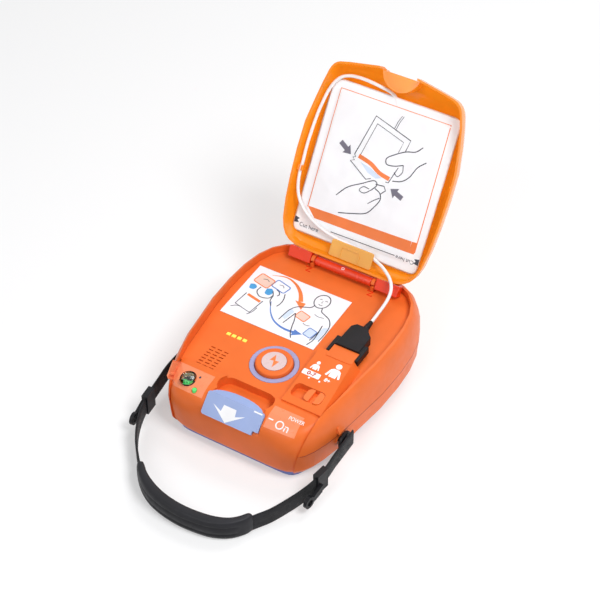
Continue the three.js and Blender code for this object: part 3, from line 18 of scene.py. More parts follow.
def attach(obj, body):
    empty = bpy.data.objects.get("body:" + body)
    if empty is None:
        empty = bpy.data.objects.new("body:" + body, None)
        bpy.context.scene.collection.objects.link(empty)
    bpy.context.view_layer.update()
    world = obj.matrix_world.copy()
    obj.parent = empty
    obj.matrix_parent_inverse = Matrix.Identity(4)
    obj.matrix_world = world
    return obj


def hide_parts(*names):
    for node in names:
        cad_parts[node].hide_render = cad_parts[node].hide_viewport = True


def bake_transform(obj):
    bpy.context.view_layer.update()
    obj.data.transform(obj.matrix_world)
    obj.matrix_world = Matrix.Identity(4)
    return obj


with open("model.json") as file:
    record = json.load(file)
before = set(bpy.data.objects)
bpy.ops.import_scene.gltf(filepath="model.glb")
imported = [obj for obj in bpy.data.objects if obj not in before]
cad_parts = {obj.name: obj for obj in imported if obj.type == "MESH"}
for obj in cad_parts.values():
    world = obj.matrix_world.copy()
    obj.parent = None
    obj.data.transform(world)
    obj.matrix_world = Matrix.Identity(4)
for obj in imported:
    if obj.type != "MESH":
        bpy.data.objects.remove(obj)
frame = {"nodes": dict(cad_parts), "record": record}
nodes = frame["nodes"]
scene = bpy.context.scene
MM = 0.001
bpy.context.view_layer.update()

# %% [markdown]
# ## The view
# A view that shows a product well is taken from a long way off with a long lens, so that the case keeps its
# true proportions and near and far edges stay almost parallel. The camera looks down at the open deck from
# the front right, and its aim is a point above the middle of the deck.

# %% Camera
VIEW_AZIMUTH = math.radians(31.1)
VIEW_ELEVATION = math.radians(42.7)
VIEW_DISTANCE = 1.554
VIEW_TARGET = Vector((0.0071, 0, 0.1171))
LENS_LENGTH = 96
SENSOR_WIDTH = 36
FARTHEST_SEEN = 20

def aim(thing, place, target):
    """Stand a camera or lamp at a place and point its -Z axis at the target."""
    thing.location = place
    thing.rotation_euler = (place - target).to_track_quat("Z", "Y").to_euler()

def place_around(target, azimuth, elevation, distance):
    """The point at that distance from the target, seen from the front when azimuth is 0."""
    flat = math.cos(elevation)
    back = Vector((math.sin(azimuth) * flat, -math.cos(azimuth) * flat, math.sin(elevation)))
    return target + back * distance

camera = bpy.data.objects.new("camera", bpy.data.cameras.new("camera"))
camera.data.lens = LENS_LENGTH
camera.data.sensor_width = SENSOR_WIDTH
camera.data.clip_end = FARTHEST_SEEN
aim(camera, place_around(VIEW_TARGET, VIEW_AZIMUTH, VIEW_ELEVATION, VIEW_DISTANCE), VIEW_TARGET)
scene.collection.objects.link(camera)
scene.camera = camera
print("camera at", [round(v, 3) for v in camera.location])

# %% [markdown]
# ## Small helpers
# A few jobs come back all through the file: turning lists of points and faces into an object, pointing its
# faces outwards, giving it a finish and the body that it moves with, and baking modifiers into plain mesh.
# Writing them once keeps each later step short.

# %% Mesh and piece helpers
def make_mesh(name, points, faces, smooth=True):
    """A mesh object from points in metres and faces as lists of point numbers."""
    data = bpy.data.meshes.new(name)
    data.from_pydata([tuple(point) for point in points], [], faces)
    data.update()
    piece = bpy.data.objects.new(name, data)
    scene.collection.objects.link(piece)
    data.polygons.foreach_set("use_smooth", [smooth] * len(data.polygons))
    return piece

def turn_faces_out(piece, weld=None, crease=None):
    """Point faces outwards. Corners closer than weld join, and edges bent past crease stay sharp."""
    mesh = bmesh.new()
    mesh.from_mesh(piece.data)
    if weld:
        bmesh.ops.remove_doubles(mesh, verts=mesh.verts, dist=weld)
    bmesh.ops.recalc_face_normals(mesh, faces=mesh.faces)
    if crease:
        for edge in mesh.edges:
            edge.smooth = edge.calc_face_angle(0) < crease
    mesh.to_mesh(piece.data)
    mesh.free()
    return piece

def dress(piece, material, slot, body=None, stands_for=()):
    """Give a piece its finish, the body it rides on and the nodes it stands for; the slot is not used."""
    piece.data.materials.clear()
    piece.data.materials.append(material)
    if stands_for:
        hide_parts(*stands_for)
    if body:
        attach(piece, body)
    return piece

def bake_modifiers(piece):
    """Replace a piece's mesh by what its modifiers make of it."""
    graph = bpy.context.evaluated_depsgraph_get()
    baked = bpy.data.meshes.new_from_object(piece.evaluated_get(graph))
    piece.modifiers.clear()
    piece.data = baked
    return piece

BODY_OF = {node: body for body, members in frame["record"]["behaviour"]["bodies"].items() for node in members}
SLOT_OF = {part["node"]: part["material_slot"] for part in frame["record"]["subparts"]}
print("bodies:", sorted(set(BODY_OF.values())))

# %% Shader helpers
def node_tree(owner):
    """An empty shader tree for a material or a world."""
    owner.use_nodes = True
    owner.node_tree.nodes.clear()
    return owner.node_tree

def link(tree, start, end):
    """Join an output socket to an input socket."""
    tree.links.new(start, end)

def add_node(tree, kind, **settings):
    """A new shader node. Each setting goes to the node's own setting or input socket of that name."""
    node = tree.nodes.new(kind)
    for key, value in settings.items():
        if hasattr(node, key):
            setattr(node, key, value)
        else:
            node.inputs[key].default_value = value
    return node

print("helpers ready")

# %% [markdown]
# ## The room
# The object stands on a white sweep with soft light from above. White comes from the floor's own colour,
# helped by a little glow that the eye sees but that lights nothing, so the lamps can stay low enough to
# keep the orange rich. The glow is seen in reflections and through the clear window too, because those rays
# should meet a white room.

# %% Floor and world
def seen_directly(tree):
    """A socket that is 1 for camera, glossy and transmission rays."""
    path = add_node(tree, "ShaderNodeLightPath")
    total = add_node(tree, "ShaderNodeMath", operation="ADD", use_clamp=True)
    link(tree, path.outputs["Is Camera Ray"], total.inputs[0])
    either = add_node(tree, "ShaderNodeMath", operation="ADD")
    link(tree, path.outputs["Is Glossy Ray"], either.inputs[0])
    link(tree, path.outputs["Is Transmission Ray"], either.inputs[1])
    link(tree, either.outputs[0], total.inputs[1])
    return total.outputs[0]

def show_mix(tree, share, first, second, output_kind):
    """Blend two shaders by a socket's value and send the result to the output."""
    mix = add_node(tree, "ShaderNodeMixShader")
    link(tree, share, mix.inputs[0])
    link(tree, first.outputs[0], mix.inputs[1])
    link(tree, second.outputs[0], mix.inputs[2])
    output = add_node(tree, output_kind)
    link(tree, mix.outputs[0], output.inputs["Surface"])

WHITE = (1, 1, 1, 1)
FLOOR_COLOR = (0.93, 0.93, 0.94, 1)
FLOOR_GLOW = 0.36
FLOOR_HALF = 4.0
floor_corners = [(x * FLOOR_HALF, y * FLOOR_HALF, 0) for x, y in ((-1, -1), (1, -1), (1, 1), (-1, 1))]
floor = make_mesh("floor", floor_corners, [(0, 1, 2, 3)], smooth=False)
white_sweep = bpy.data.materials.new("white_sweep")
tree = node_tree(white_sweep)
paper = add_node(tree, "ShaderNodeBsdfDiffuse", Color=FLOOR_COLOR)
glow = add_node(tree, "ShaderNodeEmission", Color=WHITE)
glow_share = add_node(tree, "ShaderNodeMath", operation="MULTIPLY")
glow_share.inputs[1].default_value = FLOOR_GLOW
link(tree, seen_directly(tree), glow_share.inputs[0])
show_mix(tree, glow_share.outputs[0], paper, glow, "ShaderNodeOutputMaterial")
floor.data.materials.append(white_sweep)

WORLD_LIGHT = 0.3
scene.world = bpy.data.worlds.new("studio")
tree = node_tree(scene.world)
dim = add_node(tree, "ShaderNodeBackground", Color=WHITE, Strength=WORLD_LIGHT)
white = add_node(tree, "ShaderNodeBackground", Color=WHITE, Strength=1.0)
show_mix(tree, seen_directly(tree), dim, white, "ShaderNodeOutputWorld")
print("floor and world ready")

# %% [markdown]
# Three soft lamps do the rest. The key comes from the right and above, so that the right flank of the case
# is bright and the shadow falls to the left. A wide, weaker fill from the front opens up the face of the
# case and the inside of the lid, and a lamp behind draws the rims.

# %% Lamps
LAMPS = {"key_lamp": {"azimuth": 78, "elevation": 56, "distance": 1.9, "size": 0.7, "watts": 24},
         "fill_lamp": {"azimuth": -12, "elevation": 40, "distance": 2.2, "size": 1.1, "watts": 13},
         "back_lamp": {"azimuth": 175, "elevation": 52, "distance": 2.2, "size": 1.0, "watts": 17}}
for name, form in LAMPS.items():
    lamp = bpy.data.objects.new(name, bpy.data.lights.new(name, "AREA"))
    lamp.data.size = form["size"]
    lamp.data.energy = form["watts"]
    azimuth = math.radians(form["azimuth"])
    elevation = math.radians(form["elevation"])
    aim(lamp, place_around(VIEW_TARGET, azimuth, elevation, form["distance"]), VIEW_TARGET)
    scene.collection.objects.link(lamp)
scene.view_settings.view_transform = "Standard"
print("lamps:", list(LAMPS))

# %% [markdown]
# ## Finishes
# Moulded plastic is never quite even: the tool leaves a fine spark texture, the gloss wanders a little, and
# the colour is a touch deeper where the wall is thick. One function builds all of that from noise in the
# part's own coordinates, so that it needs no image and no unwrapping. Each finish then only says its
# colour, gloss and grain.

# %% Building blocks of a finish
NOISE_LOW = 0.3
NOISE_HIGH = 0.7
COLOUR_PATCHES = 28
GLOSS_PATCHES = 160

def grain(tree, scale, detail=2.0):
    """A noise value in the part's own coordinates, at so many cells in each metre."""
    place = add_node(tree, "ShaderNodeTexCoord")
    cells = add_node(tree, "ShaderNodeTexNoise", Scale=scale, Detail=detail)
    link(tree, place.outputs["Object"], cells.inputs["Vector"])
    return cells.outputs["Fac"]

def spread(tree, value, low, high):
    """Stretch a noise value over a range."""
    settings = {"From Min": NOISE_LOW, "From Max": NOISE_HIGH, "To Min": low, "To Max": high}
    stretch = add_node(tree, "ShaderNodeMapRange", **settings)
    link(tree, value, stretch.inputs["Value"])
    return stretch.outputs["Result"]

def two_tone(tree, value, first, second):
    """A colour that wanders between two close tones."""
    mix = add_node(tree, "ShaderNodeMix", data_type="RGBA")
    for socket in mix.inputs:
        if socket.name == "A" and socket.type == "RGBA":
            socket.default_value = (*first, 1)
        if socket.name == "B" and socket.type == "RGBA":
            socket.default_value = (*second, 1)
    link(tree, value, mix.inputs[0])
    return [socket for socket in mix.outputs if socket.type == "RGBA"][0]

def bumps(tree, value, height, strength=0.6):
    """A bump of that height in metres."""
    bump = add_node(tree, "ShaderNodeBump", Strength=strength, Distance=height)
    link(tree, value, bump.inputs["Height"])
    return bump.outputs["Normal"]

def finish(name, color, rough, grain_scale=1500, grain_height=0.00002, shift=0.06, **sockets):
    """A moulded surface: grain cells in each metre, grain height in metres, and a slight shift of colour."""
    material = bpy.data.materials.new(name)
    tree = node_tree(material)
    shader = add_node(tree, "ShaderNodeBsdfPrincipled")
    output = add_node(tree, "ShaderNodeOutputMaterial")
    link(tree, shader.outputs[0], output.inputs["Surface"])
    deeper = tuple(channel * (1 - 2 * shift) for channel in color)
    lighter = tuple(min(1, channel * (1 + shift)) for channel in color)
    patches = spread(tree, grain(tree, COLOUR_PATCHES), 0, 1)
    link(tree, two_tone(tree, patches, deeper, lighter), shader.inputs["Base Color"])
    gloss = spread(tree, grain(tree, GLOSS_PATCHES), rough * 0.85, rough * 1.15)
    link(tree, gloss, shader.inputs["Roughness"])
    link(tree, bumps(tree, grain(tree, grain_scale), grain_height), shader.inputs["Normal"])
    for socket, value in sockets.items():
        shader.inputs[socket.replace("_", " ")].default_value = value
    return material

# %% [markdown]
# The orange case is satin with a fine spark-eroded grain, and only its gloss is kept low, because a white
# room mirrored in it would wash the colour out. The mode slider's orange is a little lighter than the
# case's, a painted highlight that sets it off from the shade in its well. The lid and its clips are
# translucent: light goes in, scatters a little and comes out saturated, so they get transmission over a
# strong base colour, and the lid's amber also has a faint painted glow for the light that comes through it.
# The blue parts are satin too, the black ones are dull nylon and rubber, and the small lights glow faintly;
# the status drum is no lamp, yet it shares the green lamps' finish and so has a painted glow.

# %% The object's finishes
orange = finish("orange_abs", (0.8, 0.155, 0.026), 0.38, grain_height=0.000006, shift=0.04,
                Specular_IOR_Level=0.25)
# The case orange made lighter for the mode slider: a painted highlight against the shade of its well, and
# glossier.
orange_smooth_painted_light = finish("orange_smooth_painted_light", (0.86, 0.175, 0.03), 0.22, grain_height=0.000004, shift=0.03)
# The amber's faint emission is a painted glow that stands in for the light coming through the lid.
amber = finish("amber_polycarbonate", (1.0, 0.32, 0.014), 0.16, grain_scale=500, grain_height=0.000004,
               shift=0.05, Transmission_Weight=0.42, IOR=1.45, Emission_Strength=0.1,
               Emission_Color=(1, 0.5, 0.03, 1))
clip_amber = finish("clip_amber", (1.0, 0.5, 0.1), 0.2, grain_scale=500, grain_height=0.000004, shift=0.04,
                    Transmission_Weight=0.2)
hinge_red = finish("hinge_red", (0.93, 0.055, 0.008), 0.24, grain_scale=500, grain_height=0.000004,
                   Transmission_Weight=0.15)
blue = finish("periwinkle", (0.29, 0.38, 0.66), 0.34, shift=0.04)
ring_blue = finish("ring_mauve", (0.33, 0.32, 0.54), 0.4, shift=0.04)
base_blue = finish("tray_blue", (0.17, 0.22, 0.55), 0.45, shift=0.05)
black = finish("black_nylon", (0.006, 0.006, 0.008), 0.42, grain_height=0.00003, shift=0.2,
               Specular_IOR_Level=0.22)
rubber = finish("grip_rubber", (0.009, 0.009, 0.012), 0.5, grain_scale=900, grain_height=0.00005, shift=0.2,
                Specular_IOR_Level=0.28)
paper_white = finish("label_film", (0.88, 0.88, 0.92), 0.35, grain_scale=600, grain_height=0.000006,
                     shift=0.015)
pouch_film = finish("pouch_film", (0.93, 0.94, 0.97), 0.36, grain_scale=120, grain_height=0.00005, shift=0.02)
white_disc = finish("white_disc", (0.68, 0.52, 0.52), 0.3, grain_height=0.000005, shift=0.02)
lead_white = finish("lead_pvc", (0.88, 0.88, 0.9), 0.36, grain_scale=700, grain_height=0.00001, shift=0.02)
clear = finish("clear_dome", (0.93, 0.97, 0.95), 0.04, grain_scale=300, grain_height=0.000001, shift=0.01,
               Transmission_Weight=1.0)
yellow_lamp = finish("yellow_lamp", (1.0, 0.72, 0.1), 0.25, grain_scale=400, grain_height=0.000004,
                     shift=0.04, Emission_Strength=0.25, Emission_Color=(1, 0.66, 0.08, 1))
# This glow suits the ready lamp; on the status drum, which is no lamp, it is a painted glow.
green_lamp_and_painted_drum_glow = finish("green_lamp_and_painted_drum_glow", (0.08, 0.6, 0.14), 0.2, grain_scale=400, grain_height=0.000004, shift=0.04,
                    Emission_Strength=0.2, Emission_Color=(0.1, 0.9, 0.2, 1))
solder_resist = finish("solder_resist", (0.02, 0.16, 0.06), 0.35, grain_scale=500, grain_height=0.00001,
                       shift=0.15)
steel = finish("plated_steel", (0.62, 0.62, 0.64), 0.3, grain_scale=900, grain_height=0.00001, Metallic=1.0)
can = finish("aluminium_can", (0.72, 0.72, 0.74), 0.28, grain_scale=700, grain_height=0.000008, Metallic=1.0)
gel = finish("pad_gel", (0.62, 0.72, 0.8), 0.2, grain_scale=200, grain_height=0.00003, shift=0.05)
print("finishes:", len(bpy.data.materials))

# %% [markdown]
# Inks are flat colours on a real label, yet even they pick up the film's slight unevenness, so they use the
# same function with the grain turned down. They are kept apart from the plastics, because a print is a
# piece of its own.

# %% Inks
def ink(name, color):
    """A printing ink: nearly flat, with a satin gloss."""
    return finish(name, color, 0.4, grain_scale=700, grain_height=0.000003, shift=0.05)

white_ink = ink("white_ink", (0.9, 0.9, 0.92))
dark_ink = ink("dark_ink", (0.03, 0.03, 0.05))
grey_ink = ink("grey_ink", (0.16, 0.15, 0.2))
orange_ink = ink("orange_ink", (0.86, 0.2, 0.04))
blue_ink = ink("blue_ink", (0.08, 0.2, 0.55))
pale_ink = ink("pale_ink", (0.62, 0.72, 0.88))
print("inks:", [each.name for each in bpy.data.materials if each.name.endswith("_ink")])

# %% [markdown]
# ## From construction solids to moulded surfaces
# The construction solids are exact but hard-edged, and their flat triangles would show. A real moulding has
# softly rounded edges, because a sharp one can't be cut into a tool and would crack. The way here is to
# copy a solid, melt the flat triangles into whole faces, round every real edge by a few tenths, and shade
# the rest as one curve.

# %% Round a construction solid into a moulding
SMOOTH_ANGLE = math.radians(27)
FLAT_ANGLE = math.radians(0.6)
SAME_CORNER = 0.00001
ROUNDING_STEPS = 2

def moulding(node, material, radius):
    """A copy of a construction node with edges rounded by so many mm, standing for that node."""
    piece = bpy.data.objects.new(node + "_moulding", nodes[node].data.copy())
    scene.collection.objects.link(piece)
    piece.data.materials.clear()
    mesh = bmesh.new()
    mesh.from_mesh(piece.data)
    bmesh.ops.remove_doubles(mesh, verts=mesh.verts, dist=SAME_CORNER)
    bmesh.ops.dissolve_limit(mesh, angle_limit=FLAT_ANGLE, verts=mesh.verts, edges=mesh.edges)
    for face in mesh.faces:
        face.smooth = True
    for edge in mesh.edges:
        edge.smooth = edge.calc_face_angle(0) < SMOOTH_ANGLE
    mesh.to_mesh(piece.data)
    mesh.free()
    if radius:
        bevel = piece.modifiers.new("rounded_edges", "BEVEL")
        bevel.width = radius * MM
        bevel.segments = ROUNDING_STEPS
        bevel.limit_method = "ANGLE"
        bevel.angle_limit = SMOOTH_ANGLE
        bevel.harden_normals = True
    normals = piece.modifiers.new("even_shading", "WEIGHTED_NORMAL")
    normals.keep_sharp = True
    bake_modifiers(piece)
    return dress(piece, material, SLOT_OF[node], BODY_OF[node], [node])

print("mouldings are rounded past", round(math.degrees(SMOOTH_ANGLE)), "degrees")

# %% [markdown]
# ## The lead
# The pads' lead is a thin round PVC cord, used once and then thrown away with the pads. It leaves the plug
# straight out of its strain relief, rises over the hinge bar, passes the clip at the foot of the pouch, and
# is laid round the lid's wall until it goes into the top of the pouch. A cord is a section swept along a
# smooth line, and the centripetal Catmull-Rom line passes through its points without loops or overshoot.

# %% Smooth lines and swept skins
def smooth_path(points, step):
    """A smooth line through the points, as points about one step apart."""
    knots = [Vector(point) for point in points]
    knots = [knots[0] * 2 - knots[1], *knots, knots[-1] * 2 - knots[-2]]
    line = []
    for a, b, c, d in zip(knots, knots[1:], knots[2:], knots[3:]):
        times = [0.0]
        for near, far in ((a, b), (b, c), (c, d)):
            times.append(times[-1] + (far - near).length ** 0.5)
        count = max(1, round((c - b).length / step))
        for i in range(count):
            line.append(on_segment((a, b, c, d), times, times[1] + (times[2] - times[1]) * i / count))
    line.append(knots[-2])
    return line

def on_segment(corners, times, t):
    """One point of a Catmull-Rom segment, by three rounds of straight blends over these spans of time."""
    t0, t1, t2, t3 = times
    level = list(corners)
    for spans in ([(t0, t1), (t1, t2), (t2, t3)], [(t0, t2), (t1, t3)], [(t1, t2)]):
        level = [level[i].lerp(level[i + 1], (t - start) / (end - start))
                 for i, (start, end) in enumerate(spans)]
    return level[0]

def frames_along(path, up=None):
    """The side and up directions at each point: upright if up is given, else turning as little as possible."""
    frames = []
    side = None
    for i, place in enumerate(path):
        along = (path[min(i + 1, len(path) - 1)] - path[max(i - 1, 0)]).normalized()
        if up:
            flat = Vector((along.x, along.y, 0)).normalized()
            frames.append((place, Vector((flat.y, -flat.x, 0)), Vector(up)))
            continue
        side = along.orthogonal() if side is None else side - along * side.dot(along)
        side = side.normalized()
        frames.append((place, side, along.cross(side)))
    return frames

def sweep(name, path, ring_at, up=None):
    """A closed skin along a path. ring_at(share of the way) gives the section's (side, up) points there."""
    frames = frames_along(path, up)
    points = []
    for i, (place, side, over) in enumerate(frames):
        points += [place + side * s + over * t for s, t in ring_at(i / (len(frames) - 1))]
    count = len(points) // len(frames)
    faces = [list(range(count)), [len(points) - 1 - i for i in range(count)]]
    for row in range(len(frames) - 1):
        for i in range(count):
            a, b = row * count + i, row * count + (i + 1) % count
            faces.append([a, a + count, b + count, b])
    return turn_faces_out(make_mesh(name, points, faces))

def round_ring(radius, count):
    """A round section with so many corners."""
    turns = [2 * math.pi * i / count for i in range(count)]
    return [(radius * math.cos(turn), radius * math.sin(turn)) for turn in turns]

print("line and skin tools ready")

# %% [markdown]
# The lead is laid in the lid, so its places there are easiest to give in the lid's own terms: how far right
# of the middle, how far up from the hinge, and how deep behind the rim. One matrix turns them into places
# on the open lid.

# %% Places in the lid
HINGE_MIDDLE = Vector((0, 100, 75)) * MM
LID_OPEN = math.radians(-121.6)
LID_PLACE = Matrix.Translation(HINGE_MIDDLE) @ Matrix.Rotation(LID_OPEN, 4, "X")

def on_lid(x, up_lid, depth):
    """A point inside the open lid: right, up from the hinge, and how far behind the lid's rim, all in mm."""
    return LID_PLACE @ Vector((x * MM, -up_lid * MM, depth * MM))

print("lid's hinge at", tuple(HINGE_MIDDLE))

# %% Lay the lead from the plug to the pouch
LEAD_RADIUS = 1.75
LEAD_SIDES = 16
LEAD_STEP = 2.2
LEAD_DEPTH = 2.25
FREE_LEAD = [(60, 50.4, 72.6), (60.2, 54, 73), (60.8, 61, 75), (61.8, 69, 78), (62.4, 77, 81.2),
             (61.6, 85, 84.4), (58.4, 93, 87.2), (52.8, 99.6, 89.4), (46, 104.6, 91), (38.6, 109, 92)]
LID_LEAD = [(28.4, 22), (20, 24.6), (8, 26.4), (-6, 27.6), (-20, 28.8), (-32, 30.8), (-43, 34), (-53, 38.4),
            (-62, 44), (-70, 51.4), (-75.6, 60.4), (-78.8, 71), (-80, 80), (-80, 86), (-80, 92), (-80.6, 108),
            (-80.2, 124), (-79, 142), (-76.8, 158), (-74, 171), (-69.6, 181.4), (-63.4, 188.2), (-55, 191.8),
            (-45, 193), (-35, 192.8), (-26, 192), (-18, 190.8), (-11, 189.5), (-5, 186.8), (-0.6, 182.4),
            (1.4, 176.6), (1.8, 171)]
POUCH_DIVE = [1.2, 3.2, 4.8, 5.1, 5.1, 5.1]
dives = [0] * (len(LID_LEAD) - len(POUCH_DIVE)) + POUCH_DIVE
lead_points = [Vector(point) * MM for point in FREE_LEAD]
lead_points += [on_lid(x, u, LEAD_DEPTH + dive) for (x, u), dive in zip(LID_LEAD, dives)]
lead_path = smooth_path(lead_points, LEAD_STEP * MM)
lead = sweep("pad_lead", lead_path, lambda share: round_ring(LEAD_RADIUS * MM, LEAD_SIDES))
dress(lead, lead_white, SLOT_OF["free_lead"], stands_for=["free_lead", "lid_lead"])
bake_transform(lead)

# %% [markdown]
# The plug and its strain relief are hard black mouldings, and both belong to the lead: whoever takes the
# lead off takes them along. Here they are rounded like the other mouldings.

# %% The plug and its strain relief on the lead
plug = moulding("pad_plug", black, 0.8)
strain_relief = moulding("plug_strain_relief", black, 0.5)
print("declared:", lead.name, "with", plug.name, "and", strain_relief.name)

# %% [markdown]
# ## The shells
# Four mouldings make the case: the upper shell with its rim, the deck with the controls, the lower half,
# and the blue tray that it stands on. The deck gets the smallest rounding, because its slots are narrow and
# a larger one would eat their edges.

# %% The shells
SHELLS = {"outer_shell": (orange, 0.6), "control_deck": (orange, 0.35), "lower_case": (orange, 0.5),
          "base_tray": (base_blue, 0.6)}
mouldings = {node: moulding(node, material, radius) for node, (material, radius) in SHELLS.items()}
print("shell faces:", {node: len(shell.data.polygons) for node, shell in mouldings.items()})

# %% [markdown]
# Where the two halves of the case meet, their narrow gap lies in shade, and a thin band of deep red along
# it is painted shade, not a part of the case. It follows the upper half's own lower edge, so its line is
# found by cutting that half just above the joint, and a small section goes round it.

# %% Painted shade along the joint between the halves of the case
def outline_at(node, height):
    """The longest closed line in which a level plane cuts a node."""
    mesh = bmesh.new()
    mesh.from_mesh(nodes[node].data)
    bmesh.ops.remove_doubles(mesh, verts=mesh.verts, dist=SAME_CORNER)
    everything = mesh.verts[:] + mesh.edges[:] + mesh.faces[:]
    result = bmesh.ops.bisect_plane(mesh, geom=everything, plane_co=(0, 0, height), plane_no=(0, 0, 1))
    edges = {element for element in result["geom_cut"] if isinstance(element, bmesh.types.BMEdge)}
    loops = []
    while edges:
        edge = min(edges, key=lambda candidate: candidate.index)
        ring = [edge.verts[0].co.copy()]
        here = edge.verts[1]
        while edge:
            edges.discard(edge)
            ring.append(here.co.copy())
            edge = next((other for other in here.link_edges if other in edges), None)
            here = edge.other_vert(here) if edge else here
        loops.append(ring[:-1])
    mesh.free()
    return max(loops, key=lambda ring: sum((b - a).length for a, b in zip(ring, ring[1:])))

CASE_JOINT = 36 * MM
CUT_ABOVE_JOINT = 0.6 * MM
JOINT_SHADE_SECTION = [(0.12, -0.42), (0.12, 0.42), (-0.9, 0.42), (-0.9, -0.42)]

def make_painted_joint_shade():
    """A thin closed band of painted shade that stands a tenth of a millimetre proud of the joint."""
    outline = outline_at("outer_shell", CASE_JOINT + CUT_ABOVE_JOINT)
    area = sum(a.x * b.y - b.x * a.y for a, b in zip(outline, outline[1:] + outline[:1]))
    turn = 1 if area > 0 else -1
    count, corners = len(outline), len(JOINT_SHADE_SECTION)
    points, faces = [], []
    for i, place in enumerate(outline):
        following = (i + 1) % count
        way = outline[following] - outline[i - 1]
        out = Vector((way.y, -way.x, 0)).normalized() * turn
        for side, up in JOINT_SHADE_SECTION:
            points.append(Vector((place.x, place.y, CASE_JOINT + up * MM)) + out * side * MM)
        for j in range(corners):
            k = (j + 1) % corners
            faces.append([corners * i + j, corners * i + k, corners * following + k, corners * following + j])
    piece = make_mesh("case_joint_shade", points, faces, smooth=False)
    return dress(piece, painted_joint_shade, SLOT_OF["outer_shell"], "case")

# A deep red that paints the shade in the joint's narrow gap; the band is no rubber part of the case.
painted_joint_shade = finish("painted_joint_shade", (0.4, 0.045, 0.012), 0.5, grain_height=0.000005, shift=0.05)
joint_shade_band = make_painted_joint_shade()
print("gasket points:", len(joint_shade_band.data.vertices))

# %% [markdown]
# ## The smaller mouldings
# Everything else that is moulded or assembled goes through the same function, and one table holds its
# finish and the rounding of its edges in mm. Soft-edged things, such as the battery, have nearly a
# millimetre, while boards and labels are cut from sheet and stay almost sharp. The clear window has none,
# so that it stays a clean lens.

# %% The smaller mouldings
SMALL_PARTS = {
    "shock_ring": (ring_blue, 0.3), "shock_button": (orange, 0.4), "shock_button_disc": (white_disc, 0.25),
    # The mode slider's lighter orange is a painted highlight.
    "power_lever": (blue, 0.5), "mode_slider": (orange_smooth_painted_light, 0.3), "guide_label": (paper_white, 0.15),
    # The status drum's green glow is a painted glow, because the drum is no lamp.
    "status_lens": (clear, 0), "status_drum_housing": (black, 0.3), "status_drum": (green_lamp_and_painted_drum_glow, 0.2),
    "ready_led": (green_lamp_and_painted_drum_glow, 0.5), "pad_socket": (black, 0.3), "hinge_bar": (hinge_red, 0.6),
    "pouch_clip": (clip_amber, 0.5), "lead_clip": (amber, 0.3), "lid_shell": (amber, 0.5),
    "battery_latch": (blue, 0.4), "battery_pack": (black, 0.8), "battery_contacts": (black, 0.3),
    "main_board": (solder_resist, 0.1), "control_board": (solder_resist, 0.1), "hv_capacitor": (can, 0.8),
    "hv_transformer": (black, 0.8), "output_relay": (black, 0.6), "shock_switch": (black, 0.3),
    "lever_switch": (black, 0.3), "mode_switch": (black, 0.3), "speaker": (black, 0.3),
    "electrode_pad_1": (gel, 0.5), "electrode_pad_2": (gel, 0.5), "strap_pin_left": (black, 0.8),
    "strap_pin_right": (black, 0.8), "strap_adjuster_left": (black, 0.5),
    "strap_adjuster_right": (black, 0.5)}
SMALL_PARTS.update({node: (yellow_lamp, 0.3) for node in SLOT_OF if node.startswith("status_led_")})
SMALL_PARTS.update({node: (steel, 0.15) for node in SLOT_OF if node.startswith("case_screw_")})
mouldings.update({node: moulding(node, material, radius) for node, (material, radius) in SMALL_PARTS.items()})
print("mouldings:", len(mouldings))

# %% [markdown]
# ## The carry strap
# The strap is one length of woven polyamide webbing on each side, hung from a pin in the case, taken
# through a plastic adjuster and sewn into a moulded grip. Webbing is a flat band that stands on its edge
# here, a little thinner at its woven borders. It is swept along the strap's own line, so that it bends only
# the way webbing can.

# %% Woven webbing
def webbing_finish():
    """Black webbing: cords across the band, threads along it, and a dull sheen."""
    material = finish("black_webbing", (0.008, 0.008, 0.01), 0.7, grain_scale=2600, grain_height=0.00008,
                      shift=0.25, Specular_IOR_Level=0.25, Sheen_Weight=0.06)
    tree = material.node_tree
    shader = next(node for node in tree.nodes if node.type == "BSDF_PRINCIPLED")
    place = add_node(tree, "ShaderNodeTexCoord")
    weave = add_node(tree, "ShaderNodeTexWave", bands_direction="Z", Scale=420.0, Distortion=1.2, Detail=1.0)
    link(tree, place.outputs["Object"], weave.inputs["Vector"])
    fine = shader.inputs["Normal"].links[0].from_node
    rows = add_node(tree, "ShaderNodeBump", Strength=0.7, Distance=0.00012)
    link(tree, weave.outputs["Fac"], rows.inputs["Height"])
    link(tree, fine.outputs["Normal"], rows.inputs["Normal"])
    link(tree, rows.outputs["Normal"], shader.inputs["Normal"])
    return material

webbing = webbing_finish()
WEB_HALF = 10 * MM
WEB_HALF_THICK = 1.1 * MM
WEB_LEVELS = [-1, -0.94, -0.84, -0.8, -0.3, 0.3, 0.8, 0.84, 0.94, 1]
WEB_DEPTHS = [0.35, 0.8, 0.82, 1, 1, 1, 1, 0.82, 0.8, 0.35]

def webbing_ring(share):
    """Half the band's outline going up its outer face, and the same back down its inner face."""
    outer = [(WEB_HALF_THICK * depth, WEB_HALF * level) for level, depth in zip(WEB_LEVELS, WEB_DEPTHS)]
    return outer + [(-side, up) for side, up in reversed(outer)]

SIDES = {"right": 1, "left": -1}
STRAP_STEP = 2
STRAP_ROUTES = {
    "right": [(101.4, -58, 28.5), (101.5, -66, 28.5), (101.4, -80, 28), (101, -93, 26.4),
              (100.7, -108, 23.6), (98.1, -125, 20), (92.1, -141, 16.4), (84.7, -156, 13.2),
              (77.5, -170, 11.4), (70.3, -181, 10.9), (63.9, -191, 11), (57.3, -198.6, 11.2)],
    "left": [(-101.4, -58, 28.5), (-101.5, -66, 28.5), (-101.2, -80, 28), (-100.2, -93, 26.2),
             (-99.3, -107, 24), (-97.7, -122, 21), (-94.1, -137, 17), (-88.1, -150.6, 13.8),
             (-79.5, -164, 11.6), (-69.7, -175.4, 10.9), (-59.7, -186, 11), (-50.5, -194.4, 11.2)]}

